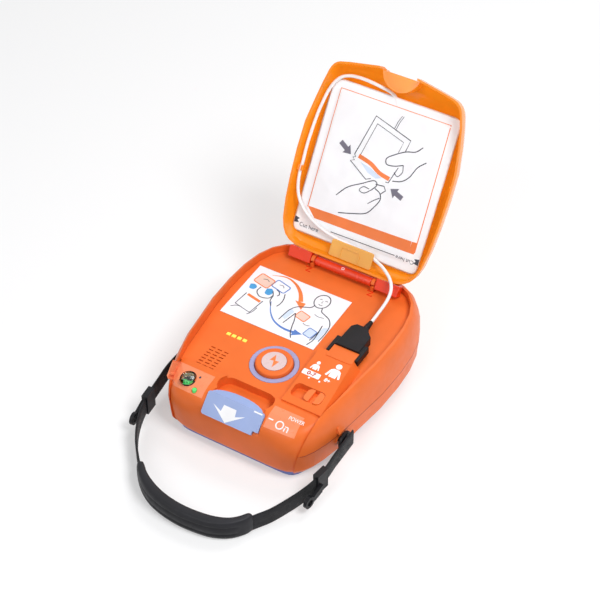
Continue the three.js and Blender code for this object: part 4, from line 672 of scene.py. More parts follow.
def make_strap(side):
    """One band of webbing, from its folded end over the pin to inside the grip."""
    path = smooth_path([Vector(point) * MM for point in STRAP_ROUTES[side]], STRAP_STEP * MM)
    band = sweep("webbing_" + side, path, webbing_ring, up=(0, 0, 1))
    dress(band, webbing, SLOT_OF["strap_" + side], "handle", ["strap_" + side])
    return path

strap_paths = {side: make_strap(side) for side in SIDES}
print("webbing:", {side: len(path) * STRAP_STEP for side, path in strap_paths.items()}, "mm")

# %% [markdown]
# At the pin the webbing is sewn round a moulded eye. The eye is a turned washer with a raised rim, and the
# seam is two short rows of thick thread with a cross between them, which is what carries the load on a real
# strap.

# %% Eyes and seams
EYE_PROFILE = [(3.6, 0.3), (3.9, 0), (9.3, 0), (10, 0.7), (10, 2.7), (9.3, 3.4), (7.6, 3.4), (7.2, 2.9),
               (5.4, 2.9), (5, 3.4), (3.9, 3.4), (3.6, 3.1)]
EYE_FACE = 95.1
EYE_STEPS = 48
EYE_CREASE = math.radians(35)
PIN_Y = -66
PIN_Z = 28.5

def make_eye(side):
    """A ring turned about the pin from the profile of (radius, depth) in mm."""
    points, faces = [], []
    size = len(EYE_PROFILE)
    for i in range(EYE_STEPS):
        turn = 2 * math.pi * i / EYE_STEPS
        for radius, depth in EYE_PROFILE:
            flat = (PIN_Y + radius * math.cos(turn), PIN_Z + radius * math.sin(turn))
            points.append(Vector((SIDES[side] * (EYE_FACE + depth), *flat)) * MM)
        following = (i + 1) % EYE_STEPS
        for j in range(size):
            k = (j + 1) % size
            faces.append([i * size + j, i * size + k, following * size + k, following * size + j])
    eye = turn_faces_out(make_mesh("strap_eye_" + side, points, faces), crease=EYE_CREASE)
    return dress(eye, black, SLOT_OF["strap_" + side], "handle")

def stitch(place, along, out, length, radius):
    """One visible loop of thread, as a small closed lozenge that stands off the cloth."""
    across = along.cross(out).normalized()
    ring = [place + across * radius * c + out * radius * s for c, s in ((1, 0), (0, 0.9), (-1, 0), (0, -0.9))]
    tips = [place - along * length / 2, place + along * length / 2]
    return [*ring, *tips], [[i, (i + 1) % 4, 4 + end] if end else [(i + 1) % 4, i, 4]
                            for end in (0, 1) for i in range(4)]

thread = finish("black_thread", (0.06, 0.06, 0.07), 0.55, grain_scale=3000, grain_height=0.00003, shift=0.2)
STITCH_PITCH = 1.9 * MM
STITCH_LENGTH = STITCH_PITCH * 0.78
THREAD_RADIUS = 0.3 * MM
SEAM_STEPS = (10, 15)
SEAM_HALF = 7.5 * MM
SEAM_LIFT = 0.1 * MM

def make_seam(side):
    """A crossed box seam on the webbing's outer face, between two steps of its path, as one object."""
    near, far = [strap_paths[side][step] for step in SEAM_STEPS]
    along = (far - near).normalized()
    out = Vector((along.y, -along.x, 0)).normalized()
    if out.x * SIDES[side] < 0:
        out.negate()
    lift = out * (WEB_HALF_THICK + SEAM_LIFT)
    up = Vector((0, 0, SEAM_HALF))
    a, b, c, d = near - up + lift, far - up + lift, far + up + lift, near + up + lift
    points, faces = [], []
    for start, end in ((a, b), (b, c), (c, d), (d, a), (a, c), (b, d)):
        way = end - start
        count = max(1, round(way.length / STITCH_PITCH))
        for i in range(count):
            place = start + way * (i + 0.5) / count
            more, turns = stitch(place, way.normalized(), out, STITCH_LENGTH, THREAD_RADIUS)
            faces += [[len(points) + corner for corner in face] for face in turns]
            points += more
    piece = make_mesh("strap_seam_" + side, points, faces)
    return dress(piece, thread, SLOT_OF["strap_" + side], "handle")

eyes = [make_eye(side) for side in SIDES]
seams = [make_seam(side) for side in SIDES]
print("eyes and seams:", [piece.name for piece in eyes + seams])

# %% [markdown]
# ## The grip
# The grip is a soft rubber moulding round the two ends of the webbing. Its outer face carries two long
# grooves that stop it from slipping, and its ends close down onto the webbing. One section, swept along the
# grip's bow, holds all of that: the section knows how deep its grooves are and how thick it is at each
# place.

# %% Grip
GRIP_LINE = [(-60, -184.6), (-52, -193), (-41.7, -200.6), (-28.4, -207.2), (-12, -211.6), (6, -213.4),
             (24, -212.4), (40, -209.2), (53, -202.8), (61.6, -193.8), (66.4, -184.8)]
GRIP = {"height": 23.2, "thick": 12.6, "end_thick": 8.4, "taper": 0.3, "z": 12.2, "end_round": 0.05,
        "end_height": 0.8, "end_depth": 0.55, "groove_at": 0.36, "groove_width": 0.11, "groove_depth": 1.3,
        "groove_start": 0.09, "groove_fade": 0.05, "square_out": 0.5, "square_up": 0.62}
GRIP_STEP = 1.5
GRIP_SIDES = 56

def eased(share):
    """A share from 0 to 1 that starts and ends gently."""
    share = min(1, max(0, share))
    return share * share * (3 - 2 * share)

def grip_ring(share):
    """A rounded block with two grooves on the face that looks away from the case."""
    nearest_end = min(share, 1 - share)
    thick = GRIP["end_thick"] + (GRIP["thick"] - GRIP["end_thick"]) * eased(nearest_end / GRIP["taper"])
    fullness = math.sqrt(max(0.0, 1 - (1 - min(1, nearest_end / GRIP["end_round"])) ** 2))
    groove = GRIP["groove_depth"] * eased((nearest_end - GRIP["groove_start"]) / GRIP["groove_fade"])
    half_up = GRIP["height"] / 2 * (GRIP["end_height"] + (1 - GRIP["end_height"]) * fullness)
    half_out = thick / 2 * (GRIP["end_depth"] + (1 - GRIP["end_depth"]) * fullness)
    ring = []
    for i in range(GRIP_SIDES):
        turn = 2 * math.pi * i / GRIP_SIDES
        c, s = math.cos(turn), math.sin(turn)
        out = math.copysign(abs(c) ** GRIP["square_out"], c) * half_out
        up = math.copysign(abs(s) ** GRIP["square_up"], s) * half_up
        if c > 0:
            for middle in (-GRIP["groove_at"], GRIP["groove_at"]):
                out -= groove * (1 - eased(abs(up / half_up - middle) / GRIP["groove_width"]))
        ring.append((out * MM, up * MM))
    return ring

grip_path = smooth_path([Vector((x, y, GRIP["z"])) * MM for x, y in GRIP_LINE], GRIP_STEP * MM)
grip = sweep("strap_grip_rubber", grip_path, grip_ring, up=(0, 0, 1))
dress(grip, rubber, SLOT_OF["strap_grip"], "handle", ["strap_grip"])
print("grip", round(sum((b - a).length for a, b in zip(grip_path, grip_path[1:])) / MM), "mm long")

# %% [markdown]
# ## The electrode pouch
# The pads are sealed in a flat bag of white laminated film. Two sheets are welded together all round, so
# the border stays flat and shows the fine ribs of the sealing bar, and inside it the film is drawn tight
# over the pads with a few shallow wrinkles. Each sheet is a height field over the same outline, and they
# share their outermost points.

# %% Pouch
POUCH = {"half": 73.5, "bottom": 20.6, "top": 186, "radius": 7.5, "weld": 8.5, "front": 4.3, "seam": 5.9,
         "back": 12.4, "sheet": 0.5, "front_slope": 5, "back_border": 4, "back_slope": 13, "rib_pitch": 1.6,
         "rib_depth": 0.07, "rib_start": 1.2, "wrinkle_depth": 0.75, "columns": 74, "rows": 84}

def pouch_half(u):
    """Half the pouch's width at a height above the hinge, with its round corners."""
    past = max(POUCH["bottom"] + POUCH["radius"] - u, u - POUCH["top"] + POUCH["radius"], 0)
    return POUCH["half"] - POUCH["radius"] + math.sqrt(max(0, POUCH["radius"] ** 2 - past ** 2))

def pouch_depth(x, u, back=False):
    """How deep the film lies behind the lid's rim, in mm."""
    edge = min(pouch_half(u) - abs(x), u - POUCH["bottom"], POUCH["top"] - u)
    if back:
        shallow = POUCH["seam"] + POUCH["sheet"]
        bulge = eased((edge - POUCH["back_border"]) / POUCH["back_slope"])
        return shallow + (POUCH["back"] - shallow) * bulge
    rise = eased((edge - POUCH["weld"]) / POUCH["front_slope"])
    wave = (1 - math.cos(edge * 2 * math.pi / POUCH["rib_pitch"])) / 2
    ribs = POUCH["rib_depth"] * wave * (1 - rise) * eased(edge / POUCH["rib_start"])
    long_waves = noise.noise(Vector((x * 0.03 + 4, u * 0.018, 0.4)))
    short_waves = noise.noise(Vector((x, u, 9)) * 0.07)
    wrinkles = POUCH["wrinkle_depth"] * rise * abs(long_waves + 0.5 * short_waves)
    return POUCH["seam"] - (POUCH["seam"] - POUCH["front"]) * rise - ribs + wrinkles

def make_pouch():
    """Both sheets of the pouch as one closed skin."""
    columns, rows = POUCH["columns"], POUCH["rows"]
    points, faces, number = [], [], {}
    for back in (False, True):
        for row in range(rows + 1):
            u = POUCH["bottom"] + (POUCH["top"] - POUCH["bottom"]) * row / rows
            for column in range(columns + 1):
                x = pouch_half(u) * (2 * column / columns - 1)
                rim = row in (0, rows) or column in (0, columns)
                if back and rim:
                    number[back, row, column] = number[False, row, column]
                    continue
                number[back, row, column] = len(points)
                depth = POUCH["seam"] + POUCH["sheet"] / 2 if rim else pouch_depth(x, u, back)
                points.append(on_lid(x, u, depth))
        for row in range(rows):
            for column in range(columns):
                ring = [number[back, row + a, column + b] for a, b in ((0, 0), (0, 1), (1, 1), (1, 0))]
                faces.append(ring[::-1] if back else ring)
    piece = turn_faces_out(make_mesh("electrode_pouch_film", points, faces), weld=SAME_CORNER / 10)
    return dress(piece, pouch_film, SLOT_OF["electrode_pouch"], "lid", ["electrode_pouch"])

pouch = make_pouch()
print("pouch film faces:", len(pouch.data.polygons))

# %% [markdown]
# ## Prints
# Everything printed is a thin film of ink on a surface, so each print here is a real film. Its flat shapes
# come first, drawn in millimetres: filled outlines, lines of even or tapering width, words and arrows. An
# image on the surface would be quicker, but it has a fixed sharpness, while a shape stays crisp however
# near one looks.

# %% Flat shapes
def filled(outline, *holes):
    """A filled outline as (points, triangles)."""
    loops = [list(outline), *[list(hole) for hole in holes]]
    triangles = tessellate_polygon([[Vector((x, y, 0)) for x, y in loop] for loop in loops])
    return [point for loop in loops for point in loop], [list(three) for three in triangles]

def bow(points, step=1.2):
    """A smooth line through flat points."""
    return [(place.x, place.y) for place in smooth_path([Vector((x, y, 0)) for x, y in points], step)]

def line(points, width, closed=False, end_width=None):
    """A drawn line of that width, which may taper to end_width."""
    points = [Vector(point) for point in points]
    count = len(points)
    sides = []
    for i, point in enumerate(points):
        before = points[i - 1] if i or closed else point
        after = points[(i + 1) % count] if i + 1 < count or closed else point
        way = (after - before).normalized()
        share = i / max(1, count - 1)
        half = (width + ((end_width or width) - width) * share) / 2
        sides += [point + Vector((-way.y, way.x)) * half, point + Vector((way.y, -way.x)) * half]
    faces = []
    for i in range(count if closed else count - 1):
        a, b = 2 * i, 2 * ((i + 1) % count)
        faces.append([a, a + 1, b + 1, b])
    return [tuple(side) for side in sides], faces

def oval(x, y, half_x, half_y=None, count=28):
    """An oval's outline, or a circle's if half_y is left out."""
    half_y = half_y or half_x
    return [(x + half_x * math.cos(2 * math.pi * i / count), y + half_y * math.sin(2 * math.pi * i / count))
            for i in range(count)]

CORNER_STEPS = 4

def rounded(x, y, half_x, half_y, radius, turn=0):
    """A rectangle with round corners, turned about its middle by that many degrees."""
    c, s = math.cos(math.radians(turn)), math.sin(math.radians(turn))
    ring = []
    for quarter, (sx, sy) in enumerate(((1, 1), (-1, 1), (-1, -1), (1, -1))):
        for i in range(CORNER_STEPS + 1):
            way = (quarter + i / CORNER_STEPS) * math.pi / 2
            a = sx * (half_x - radius) + radius * math.cos(way)
            b = sy * (half_y - radius) + radius * math.sin(way)
            ring.append((x + a * c - b * s, y + a * s + b * c))
    return ring

def word(text, x, y, size, turn=0, wide=1.0, bold=0.0):
    """A word, set in the middle of its place, as (points, triangles). bold thickens it by that share."""
    curve = bpy.data.curves.new("word", "FONT")
    curve.body = text
    curve.size = size
    curve.offset = bold * size
    curve.align_x = "CENTER"
    curve.align_y = "CENTER"
    setting = bpy.data.objects.new("word", curve)
    scene.collection.objects.link(setting)
    data = bpy.data.meshes.new_from_object(setting.evaluated_get(bpy.context.evaluated_depsgraph_get()))
    c, s = math.cos(math.radians(turn)), math.sin(math.radians(turn))
    points = [(x + v.co.x * wide * c - v.co.y * s, y + v.co.x * wide * s + v.co.y * c) for v in data.vertices]
    faces = [list(face.vertices) for face in data.polygons]
    bpy.data.objects.remove(setting)
    bpy.data.meshes.remove(data)
    return points, faces

def block_arrow(tail, tip, shaft, head, head_length):
    """A straight arrow with a broad head."""
    tail, tip = Vector(tail), Vector(tip)
    way = (tip - tail).normalized()
    side = Vector((-way.y, way.x))
    neck = tip - way * head_length
    return filled([tuple(point) for point in (
        tail + side * shaft / 2, neck + side * shaft / 2, neck + side * head / 2, tip, neck - side * head / 2,
        neck - side * shaft / 2, tail - side * shaft / 2)])

print("a plain circle has", len(oval(0, 0, 1)), "corners")

# %% [markdown]
# The shapes are then cut fine enough to follow a curve, dropped straight down onto the surface below, and
# given a thickness of about a tenth of a millimetre, partly sunk so that no gap shows. Each surface that
# takes ink gets its own drop function, which knows the direction of the drop. A shallower film lies under a
# higher one, so that inks that overlap don't fight for the same place.

# %% Laying ink on a surface
DROP_FROM = 20
SUNK = 0.05
CUTTING_ROUNDS = 5

def surface_of(piece, place):
    """A function that drops a flat point in mm onto a piece and lifts it off by so much."""
    points = [piece.matrix_world @ vertex.co for vertex in piece.data.vertices]
    tree = BVHTree.FromPolygons(points, [list(face.vertices) for face in piece.data.polygons])
    out = (place.to_3x3() @ Vector((0, 0, 1))).normalized()

    def put(x, y, lift):
        """The place of a flat point on the surface, raised by lift in mm."""
        flat = place @ Vector((x * MM, y * MM, 0))
        hit = tree.ray_cast(flat + out * DROP_FROM * MM, -out, 2 * DROP_FROM * MM)[0]
        return (hit or flat) + out * lift * MM

    return put

def ink_film(name, shapes, put, material, slot_name, body, lift, finest=3.0):
    """Shapes in mm as one closed film of ink on a surface, cut until no edge is longer than finest."""
    mesh = bmesh.new()
    for points, faces in shapes:
        corners = [mesh.verts.new((x, y, 0)) for x, y in points]
        for face in faces:
            mesh.faces.new([corners[i] for i in face])
    for _ in range(CUTTING_ROUNDS):
        bmesh.ops.triangulate(mesh, faces=mesh.faces)
        long = [edge for edge in mesh.edges if edge.calc_length() > finest]
        if not long:
            break
        bmesh.ops.subdivide_edges(mesh, edges=long, cuts=1)
    for face in mesh.faces:
        if face.normal.z < 0:
            face.normal_flip()
    rim = [(edge.link_loops[0].vert, edge.link_loops[0].link_loop_next.vert)
           for edge in mesh.edges if len(edge.link_faces) == 1]
    under = {vert: mesh.verts.new(put(vert.co.x, vert.co.y, -SUNK)) for vert in list(mesh.verts)}
    for face in list(mesh.faces):
        mesh.faces.new([under[vert] for vert in reversed(face.verts)])
    for a, b in rim:
        mesh.faces.new([b, a, under[a], under[b]])
    for vert in under:
        vert.co = put(vert.co.x, vert.co.y, lift)
    data = bpy.data.meshes.new(name)
    mesh.to_mesh(data)
    mesh.free()
    piece = bpy.data.objects.new(name, data)
    scene.collection.objects.link(piece)
    return dress(piece, material, slot_name, body)

DECK_SLOPE = math.radians(2)
FRONT_SLOPE = math.radians(45)
DECK_PLACE = Matrix.Translation((0, 0, 0.064)) @ Matrix.Rotation(DECK_SLOPE, 4, "X")
LEVER_PLACE = Matrix.Translation((0, -0.105, 0.0646)) @ Matrix.Rotation(FRONT_SLOPE, 4, "X")
IN_LID_PLACE = LID_PLACE @ Matrix.Rotation(math.pi, 4, "X")
POUCH_PLACE = IN_LID_PLACE @ Matrix.Translation((0, 0, -POUCH["front"] * MM))
on_label = surface_of(mouldings["guide_label"], DECK_PLACE)
on_deck = surface_of(mouldings["control_deck"], DECK_PLACE)
on_front = surface_of(mouldings["control_deck"], LEVER_PLACE)
on_lever = surface_of(mouldings["power_lever"], LEVER_PLACE)
on_disc = surface_of(mouldings["shock_button_disc"], DECK_PLACE)
on_pouch = surface_of(pouch, POUCH_PLACE)
print("surfaces ready for ink")

# %% [markdown]
# The pouch's own drawing comes first: a thin orange frame with a broad band at its foot, a cut line with
# its words and notches, and two hands tearing a small pouch open between two arrows. The fine lines are cut
# fine too, so that they ride over the wrinkles.

# %% Pouch drawing
POUCH_SLOT = SLOT_OF["electrode_pouch"]
frame_lines = [line([(-62, 49), (-62.5, 177), (63, 177), (65.4, 43)], 1.0),
               filled([(-62, 50), (65.4, 53.6), (65, 41.4), (-51, 40)])]
ink_film("pouch_frame_print", frame_lines, on_pouch, orange_ink, POUCH_SLOT, "lid", lift=0.16, finest=1.4)
cut_marks = [line([(-29, 32.6), (46, 33.6)], 0.75), word("Cut here", -54.6, 28.6, 6.2),
             word("Cut here", 57.4, 33, 5.6, turn=180)]
NOTCH = [(72.6, 3.4), (72.6, -3.4), (67, -2.2), (69.4, 0), (67, 2.2)]
NOTCH_PLACES = ((-1, 32), (1, 35))
cut_marks += [filled([(side * x, u + up) for x, up in NOTCH]) for side, u in NOTCH_PLACES]
ink_film("pouch_cut_print", cut_marks, on_pouch, dark_ink, POUCH_SLOT, "lid", lift=0.12)
ARROW_ENDS = [((-46, 125), (-31.5, 116)), ((36, 91), (21, 96.5))]
arrows = [block_arrow(tail, tip, shaft=5.2, head=12, head_length=7.6) for tail, tip in ARROW_ENDS]
ink_film("pouch_arrow_print", arrows, on_pouch, grey_ink, POUCH_SLOT, "lid", lift=0.12)
BOLD_LINE = 1.0
PLAIN_LINE = 0.85
FAINT_LINE = 0.6
bag_lines = [
    line([(-27.5, 117.5), (-16.2, 161.7), (27.3, 149.4), (24.8, 136.6)], BOLD_LINE),
    line([(-12.6, 154.6), (-21, 119)], FAINT_LINE),
    line([(-12.6, 154.6), (20.4, 145.4), (18, 134)], FAINT_LINE),
    line([(11, 170), (8, 163), (6.6, 156)], FAINT_LINE),
    line([(13, 170), (10, 162.4), (8.4, 155.4)], FAINT_LINE),
    line([(-27.5, 117.5), (-25.4, 115.4), (-28.4, 114.2), (-26, 112), (-30.3, 110), (-8, 97), (-3, 99.4)],
         PLAIN_LINE)]
upper_hand = [
    line(bow([(42, 147), (36, 140.6), (25.7, 137.2), (15.3, 131), (7.4, 124), (9, 119), (17, 119.4),
              (27, 123.4)]), BOLD_LINE),
    line(bow([(27, 123.4), (28, 116), (24, 110.6), (19.4, 113.4)]), PLAIN_LINE),
    line(bow([(50, 133.7), (42.6, 126.4), (36.8, 114), (30, 107.4), (20.6, 104.6)]), BOLD_LINE),
    line([(22.4, 119.4), (16.8, 101.6), (13.6, 101.2)], PLAIN_LINE)]
lower_hand = [
    line(bow([(-34.6, 71), (-25, 82.6), (-11, 91.4), (2.4, 98.6), (5.6, 95.6), (1.4, 88.6)]), BOLD_LINE),
    line(bow([(1.4, 88.6), (-6, 82.8), (-11.6, 84.4), (-8, 89), (-1.4, 88.8)]), PLAIN_LINE),
    line(bow([(-27, 54.4), (-12, 58.6), (3, 64.2), (9, 72), (13.6, 82.6), (11.2, 88.4), (4.4, 91.4)]),
         BOLD_LINE),
    line(bow([(1.6, 74), (7.4, 79.6), (12.4, 83.6)]), PLAIN_LINE),
    line([(3.9, 95.7), (13.6, 96.6), (16.4, 92.8), (12, 87.6)], BOLD_LINE)]
hand_drawing = bag_lines + upper_hand + lower_hand
ink_film("pouch_hands_print", hand_drawing, on_pouch, dark_ink, POUCH_SLOT, "lid", lift=0.14)
tear = bow([(-22.5, 117.4), (-8, 114), (5, 107.6), (16.6, 105.4)])
ink_film("pouch_band_print", [line(tear, 4.4)], on_pouch, orange_ink, POUCH_SLOT, "lid", lift=0.1)
flap = filled([(-19, 112), (-6, 109.6), (8, 103.4), (2, 101), (-8, 104)])
ink_film("pouch_flap_print", [flap], on_pouch, pale_ink, POUCH_SLOT, "lid", lift=0.1)
print("pouch prints done")

# %% [markdown]
# The label on the deck shows the next step. The left half holds the two pads with their peel-off backing
# and the opened pouch, and two bowed arrows lead to the places where the pads go on a plain figure with an
# opened shirt. Pale fills go down first, then the orange and the blue, and the dark outlines lie on top.

# %% Label drawing
LABEL_SLOT = SLOT_OF["guide_label"]
skin_ink = ink("skin_ink", (0.86, 0.6, 0.5))
tab_ink = ink("tab_ink", (0.06, 0.34, 0.7))
pad_one = rounded(-67.6, 53.4, 9.4, 7, 2.4, -12)
pad_two = rounded(-48.4, 54.4, 9, 5.6, 2.2, -14)
figure_pad = rounded(-7.2, 28.6, 6.6, 5, 1.6, -14)
side_pad = rounded(11.3, 12, 5, 5.6, 1.4, -12)
left_fingers = filled(bow([(-78, 43), (-74, 44.6), (-69.8, 42), (-71, 37.6), (-76, 37), (-78, 43)]))
right_fingers = filled(bow([(-59.6, 45), (-54.6, 47), (-51, 43), (-52.6, 37.6), (-58, 38), (-59.6, 45)]))
shirt = [filled([(-23, 33), (-17.4, 30), (-20.4, 16), (-25.6, 18)]),
         filled([(24.4, 27), (19.4, 25), (16.4, 4), (23.4, 8)])]
label_fills = {"label_skin_print": (skin_ink, [filled(pad_one), filled(figure_pad)]),
               "label_tab_print": (tab_ink, [left_fingers, right_fingers]),
               "label_grey_print": (pale_ink, [filled(side_pad), *shirt])}
for name, (material, shapes) in label_fills.items():
    ink_film(name, shapes, on_label, material, LABEL_SLOT, "case", lift=0.03)
over_arrow = bow([(-65.2, 64.6), (-50.1, 69), (-37.4, 65.4), (-26.3, 56.3), (-19.4, 45.6)])
orange_shapes = [line(over_arrow, 0.5, end_width=5), filled([(-25.4, 44.6), (-13.4, 45.8), (-13.4, 35.6)]),
                 line([(-72.3, 28.4), (-55.4, 24.8)], 3.2), line(pad_one, 1.2, closed=True),
                 line(figure_pad, 1.1, closed=True)]
ink_film("label_orange_print", orange_shapes, on_label, orange_ink, LABEL_SLOT, "case", lift=0.06)
under_arrow = bow([(-45.8, 31), (-39, 18.6), (-28.4, 8.6), (-15.5, 4.4), (-4, 4.6)])
blue_shapes = [line(under_arrow, 0.6, end_width=3), filled([(-4.4, 9), (-4, -0.4), (5.6, 6.4)]),
               line(pad_two, 1.2, closed=True), line(side_pad, 1.0, closed=True)]
ink_film("label_blue_print", blue_shapes, on_label, blue_ink, LABEL_SLOT, "case", lift=0.06)
print("label fills and arrows done")

# %% Label outlines
OUTLINE = 1.05
CUFF_LINE = 0.8
DETAIL_LINE = 0.65
NOSE_LINE = 0.55
FACE_STEP = 0.5
head = [(x * 0.97 - 0.4, y) for x, y in oval(0, 56.6, 8.4, 9.8)]
face = [line(bow([(-4.2, 58.6), (-2.8, 59.4), (-1.6, 58.6)], FACE_STEP), DETAIL_LINE),
        line(bow([(1.8, 58.6), (3.2, 59.4), (4.4, 58.6)], FACE_STEP), DETAIL_LINE),
        line([(0.2, 57.6), (-0.5, 54.8), (0.8, 54.6)], NOSE_LINE),
        line(bow([(-2, 51.8), (0.2, 51.1), (2.4, 51.8)], FACE_STEP), DETAIL_LINE)]
body = [line(head, OUTLINE, closed=True),
        line(bow([(-4.4, 47.6), (-6.4, 43.6), (-12, 41), (-19.4, 37), (-23.4, 30), (-25, 21), (-26, 13)]),
             OUTLINE),
        line(bow([(4.6, 48), (6.4, 43.6), (12, 41), (18.6, 37.6), (23.6, 30), (25, 19), (24.4, 6)]), OUTLINE),
        line(bow([(-15.6, 29), (-17.6, 20), (-19.6, 11)]), OUTLINE),
        line(bow([(17, 27), (18, 17), (16, 3)]), OUTLINE),
        line(bow([(-15.6, 29), (-11.6, 20), (-9, 11), (-6, 3), (-2, -3.4)]), OUTLINE),
        line(bow([(17, 27), (18.6, 15), (19, 4), (16.6, -3.6)]), OUTLINE),
        line(bow([(2, 37), (7, 35.8), (13, 36.8)]), DETAIL_LINE),
        line(bow([(-2, 20.6), (2, 19.4), (6, 20.4)]), DETAIL_LINE)]
hands = [line([(-74.4, 29.4), (-76.6, 11), (-56.8, 6.6), (-53.4, 27.2)], OUTLINE),
         line(bow([(-78.4, 5), (-74, 8.6), (-70, 9.6)]), CUFF_LINE),
         line(bow([(-58, 3), (-54.6, 9), (-53.6, 16)]), CUFF_LINE),
         line(bow([(-66, 44), (-66.6, 37), (-60, 31.4), (-50.6, 34), (-48.6, 40)]), OUTLINE),
         line(bow([(-52, 44.6), (-48.6, 39), (-47.6, 32), (-43, 25.4)]), OUTLINE),
         line(bow([(-39, 47), (-36.4, 40), (-36, 33), (-37.4, 27.6)]), OUTLINE),
         line(bow([(-49.6, 48.4), (-46, 46.8), (-43.6, 43), (-45, 40.6)]), OUTLINE),
         line(bow([(-70, 55), (-66, 56.4), (-62.6, 54.6)]), DETAIL_LINE),
         line(bow([(-51, 55.8), (-47, 56.6), (-44.6, 54)]), DETAIL_LINE)]
ink_film("label_figure_print", body + face + hands, on_label, dark_ink, LABEL_SLOT, "case", lift=0.09)
print("label outlines done")

# %% [markdown]
# The signs at the controls are printed in white: an arrow on the lever that says which way turns the power
# on, a dash on the lever and one on the case that line up then, and a child and an adult beside the mode
# slider. The bolt on the shock button is printed in orange.

# %% Signs at the lever and the shock button
CASE_SLOT = SLOT_OF["control_deck"]
lever_arrow = filled([(-11, -7.6), (3, -7.6), (4, -14.4), (14, -10.5), (-4, -23.4), (-22, -10.5),
                      (-12, -14.4)])
lever_dash = line([(20.4, -1.6), (29.6, -1.6)], 1.5)
ink_film("lever_arrow_print", [lever_arrow, lever_dash], on_lever, white_ink, SLOT_OF["power_lever"], "lever",
         lift=0.06)
case_dash = line([(35.4, -2.2), (40.6, -2.2)], 1.3)
front_words = [case_dash, word("On", 51.6, -4.6, 11.6, bold=0.006), word("POWER", 61, 5.4, 4.8, bold=0.004)]
ink_film("power_words_print", front_words, on_front, white_ink, CASE_SLOT, "case", lift=0.16)
bolt = [(0.6, -33.8), (-1.8, -42.8), (2.4, -41.8), (5.2, -50.4), (8, -40.4), (3.9, -41.2)]
ink_film("shock_bolt_print", [filled(bolt)], on_disc, orange_ink, SLOT_OF["shock_button_disc"], "button",
         lift=0.05)
print("signs at the lever and the shock button done")

# %% Signs at the mode slider
PERSON = [(-2.6, 6.4), (2.8, 6.4), (5.2, 4.6), (7.6, -3), (5.8, -3.8), (3.8, 1.6), (3.6, -3.8), (-3.4, -3.8),
          (-3.6, 1.6), (-5.6, -3.8), (-7.4, -3), (-5, 4.6)]
PERSON_HEAD = {"x": 0.2, "y": 10.2, "radius": 3}

def person(x, y, scale):
    """A plain standing figure from the waist up: a head, shoulders, arms and a body."""
    outline = [(x + a * scale, y + b * scale) for a, b in PERSON]
    crown = oval(x + PERSON_HEAD["x"] * scale, y + PERSON_HEAD["y"] * scale, PERSON_HEAD["radius"] * scale)
    return [filled(outline), filled(crown)]

adult = person(64, -31.6, 1.06)
child = person(44, -32.4, 0.66)
age_plate = filled(rounded(44.6, -40.8, 9.6, 3.2, 1))
mode_dots = [filled(oval(56.4, -45.6, 1)), filled(oval(45, -46, 1))]
mode_signs = [*adult, *child, age_plate, word("8+", 62.4, -41, 5.8, bold=0.03), *mode_dots]
ink_film("mode_signs_print", mode_signs, on_deck, white_ink, CASE_SLOT, "case", lift=0.07)
deep_red_ink = ink("deep_red_ink", (0.5, 0.04, 0.02))
child_age = word("0-7", 44.6, -40.9, 6.2, wide=1.1, bold=0.03)
ink_film("mode_age_print", [child_age], on_deck, deep_red_ink, CASE_SLOT, "case", lift=0.14)
print("signs at the mode slider done")

# %% [markdown]
# Two fields of a lighter orange sit beside the lever: one frames the power words, and the other frames the
# status window and its lamp, with a small dark sensor dot. On a real device they are thin films moulded in
# with the case, so they are laid like ink. The dark bezel round the window is a film too, a little thicker.

# %% Lighter fields and the window's bezel
field_film = finish("field_film", (0.87, 0.26, 0.115), 0.3, grain_height=0.000006, shift=0.03)
power_field = filled([(33.6, 10.4), (66, 10.4), (67, -10.4), (34.2, -11.4)])
ink_film("power_field", [power_field], on_front, field_film, CASE_SLOT, "case", lift=0.1, finest=1.5)
window_field = filled([(-79, 12), (-36, 12), (-36, -11), (-73, -11), (-79, -4)], oval(-59, 0.9, 8.6, 7.4),
                      oval(-46.5, -7.4, 3, 2.8))
ink_film("window_field", [window_field], on_front, field_film, CASE_SLOT, "case", lift=0.1, finest=1.5)
bezel = filled(oval(-59, 0.9, 8.7, 7.5), oval(-59, 0.9, 7.5, 6.3))
ink_film("window_bezel", [bezel], on_front, black, CASE_SLOT, "case", lift=0.35)
ink_film("window_dot", [filled(oval(-48.7, 6.2, 1.1))], on_front, dark_ink, CASE_SLOT, "case", lift=0.16)
print("fields and bezel done")

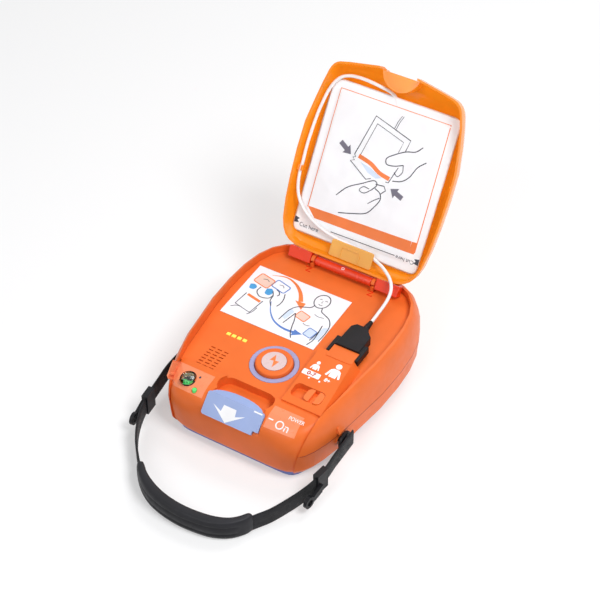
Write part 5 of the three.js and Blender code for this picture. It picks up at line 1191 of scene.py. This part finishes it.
# %% [markdown]
# A few marks are moulded, not printed: a rib round the pouch clip's tab, a ring on the hinge bar, and two
# small hooks on the deck behind it. They are low ribs of even height, so a thicker film makes them: the rib
# in the clip's own finish, the ring in white and the hooks in the hinge bar's red.

# %% Moulded marks on clip, hinge and deck
on_clip = surface_of(mouldings["pouch_clip"], IN_LID_PLACE)
clip_tab = line([(-9, 11.6), (-9, 22.6), (-8, 23.6), (11, 23.6), (12, 22.6), (12, 11.6)], 1.3)
ink_film("clip_tab_rib", [clip_tab], on_clip, clip_amber, SLOT_OF["pouch_clip"], "lid", lift=0.8)
HINGE_MARK_TILT = math.radians(20)
HINGE_PLACE = Matrix.Translation(HINGE_MIDDLE) @ Matrix.Rotation(HINGE_MARK_TILT, 4, "X")
on_hinge = surface_of(mouldings["hinge_bar"], HINGE_PLACE)
hinge_ring = filled(oval(-0.6, 0, 1.7, 1.5), oval(-0.6, 0, 1.1, 0.9)[::-1])
ink_film("hinge_mark", [hinge_ring], on_hinge, white_ink, SLOT_OF["hinge_bar"], BODY_OF["hinge_bar"],
         lift=0.1)
HOOK = [(-4, 3.2), (2.6, 3.2), (-1.4, -2.6), (4, -2.6)]
HOOK_PLACES = [(-38, 91), (35, 91)]
hooks = [line([(x + a, y + b) for a, b in HOOK], 1.1) for x, y in HOOK_PLACES]
ink_film("deck_hooks", hooks, on_deck, hinge_red, CASE_SLOT, "case", lift=0.7)
print("moulded marks done")

# %% [markdown]
# The status window shows a drum that is green on one side and red on the other, and the device turns the
# red side up when it needs service. The red field is laid on the drum's underside, so it is out of sight
# until the drum turns.

# %% The drum's red side
BOX_CORNERS = 8
drum = mouldings["status_drum"]
drum_middle = sum((Vector(corner) for corner in drum.bound_box), Vector()) / BOX_CORNERS
on_drum = surface_of(drum, Matrix.Translation(drum_middle) @ Matrix.Rotation(math.pi, 4, "X"))
red_field = filled(rounded(0, 0, 5.6, 3.8, 0.6))
ink_film("drum_wait_print", [red_field], on_drum, deep_red_ink, SLOT_OF["status_drum"], "indicator", lift=0.1,
         finest=1.0)
print("drum done")
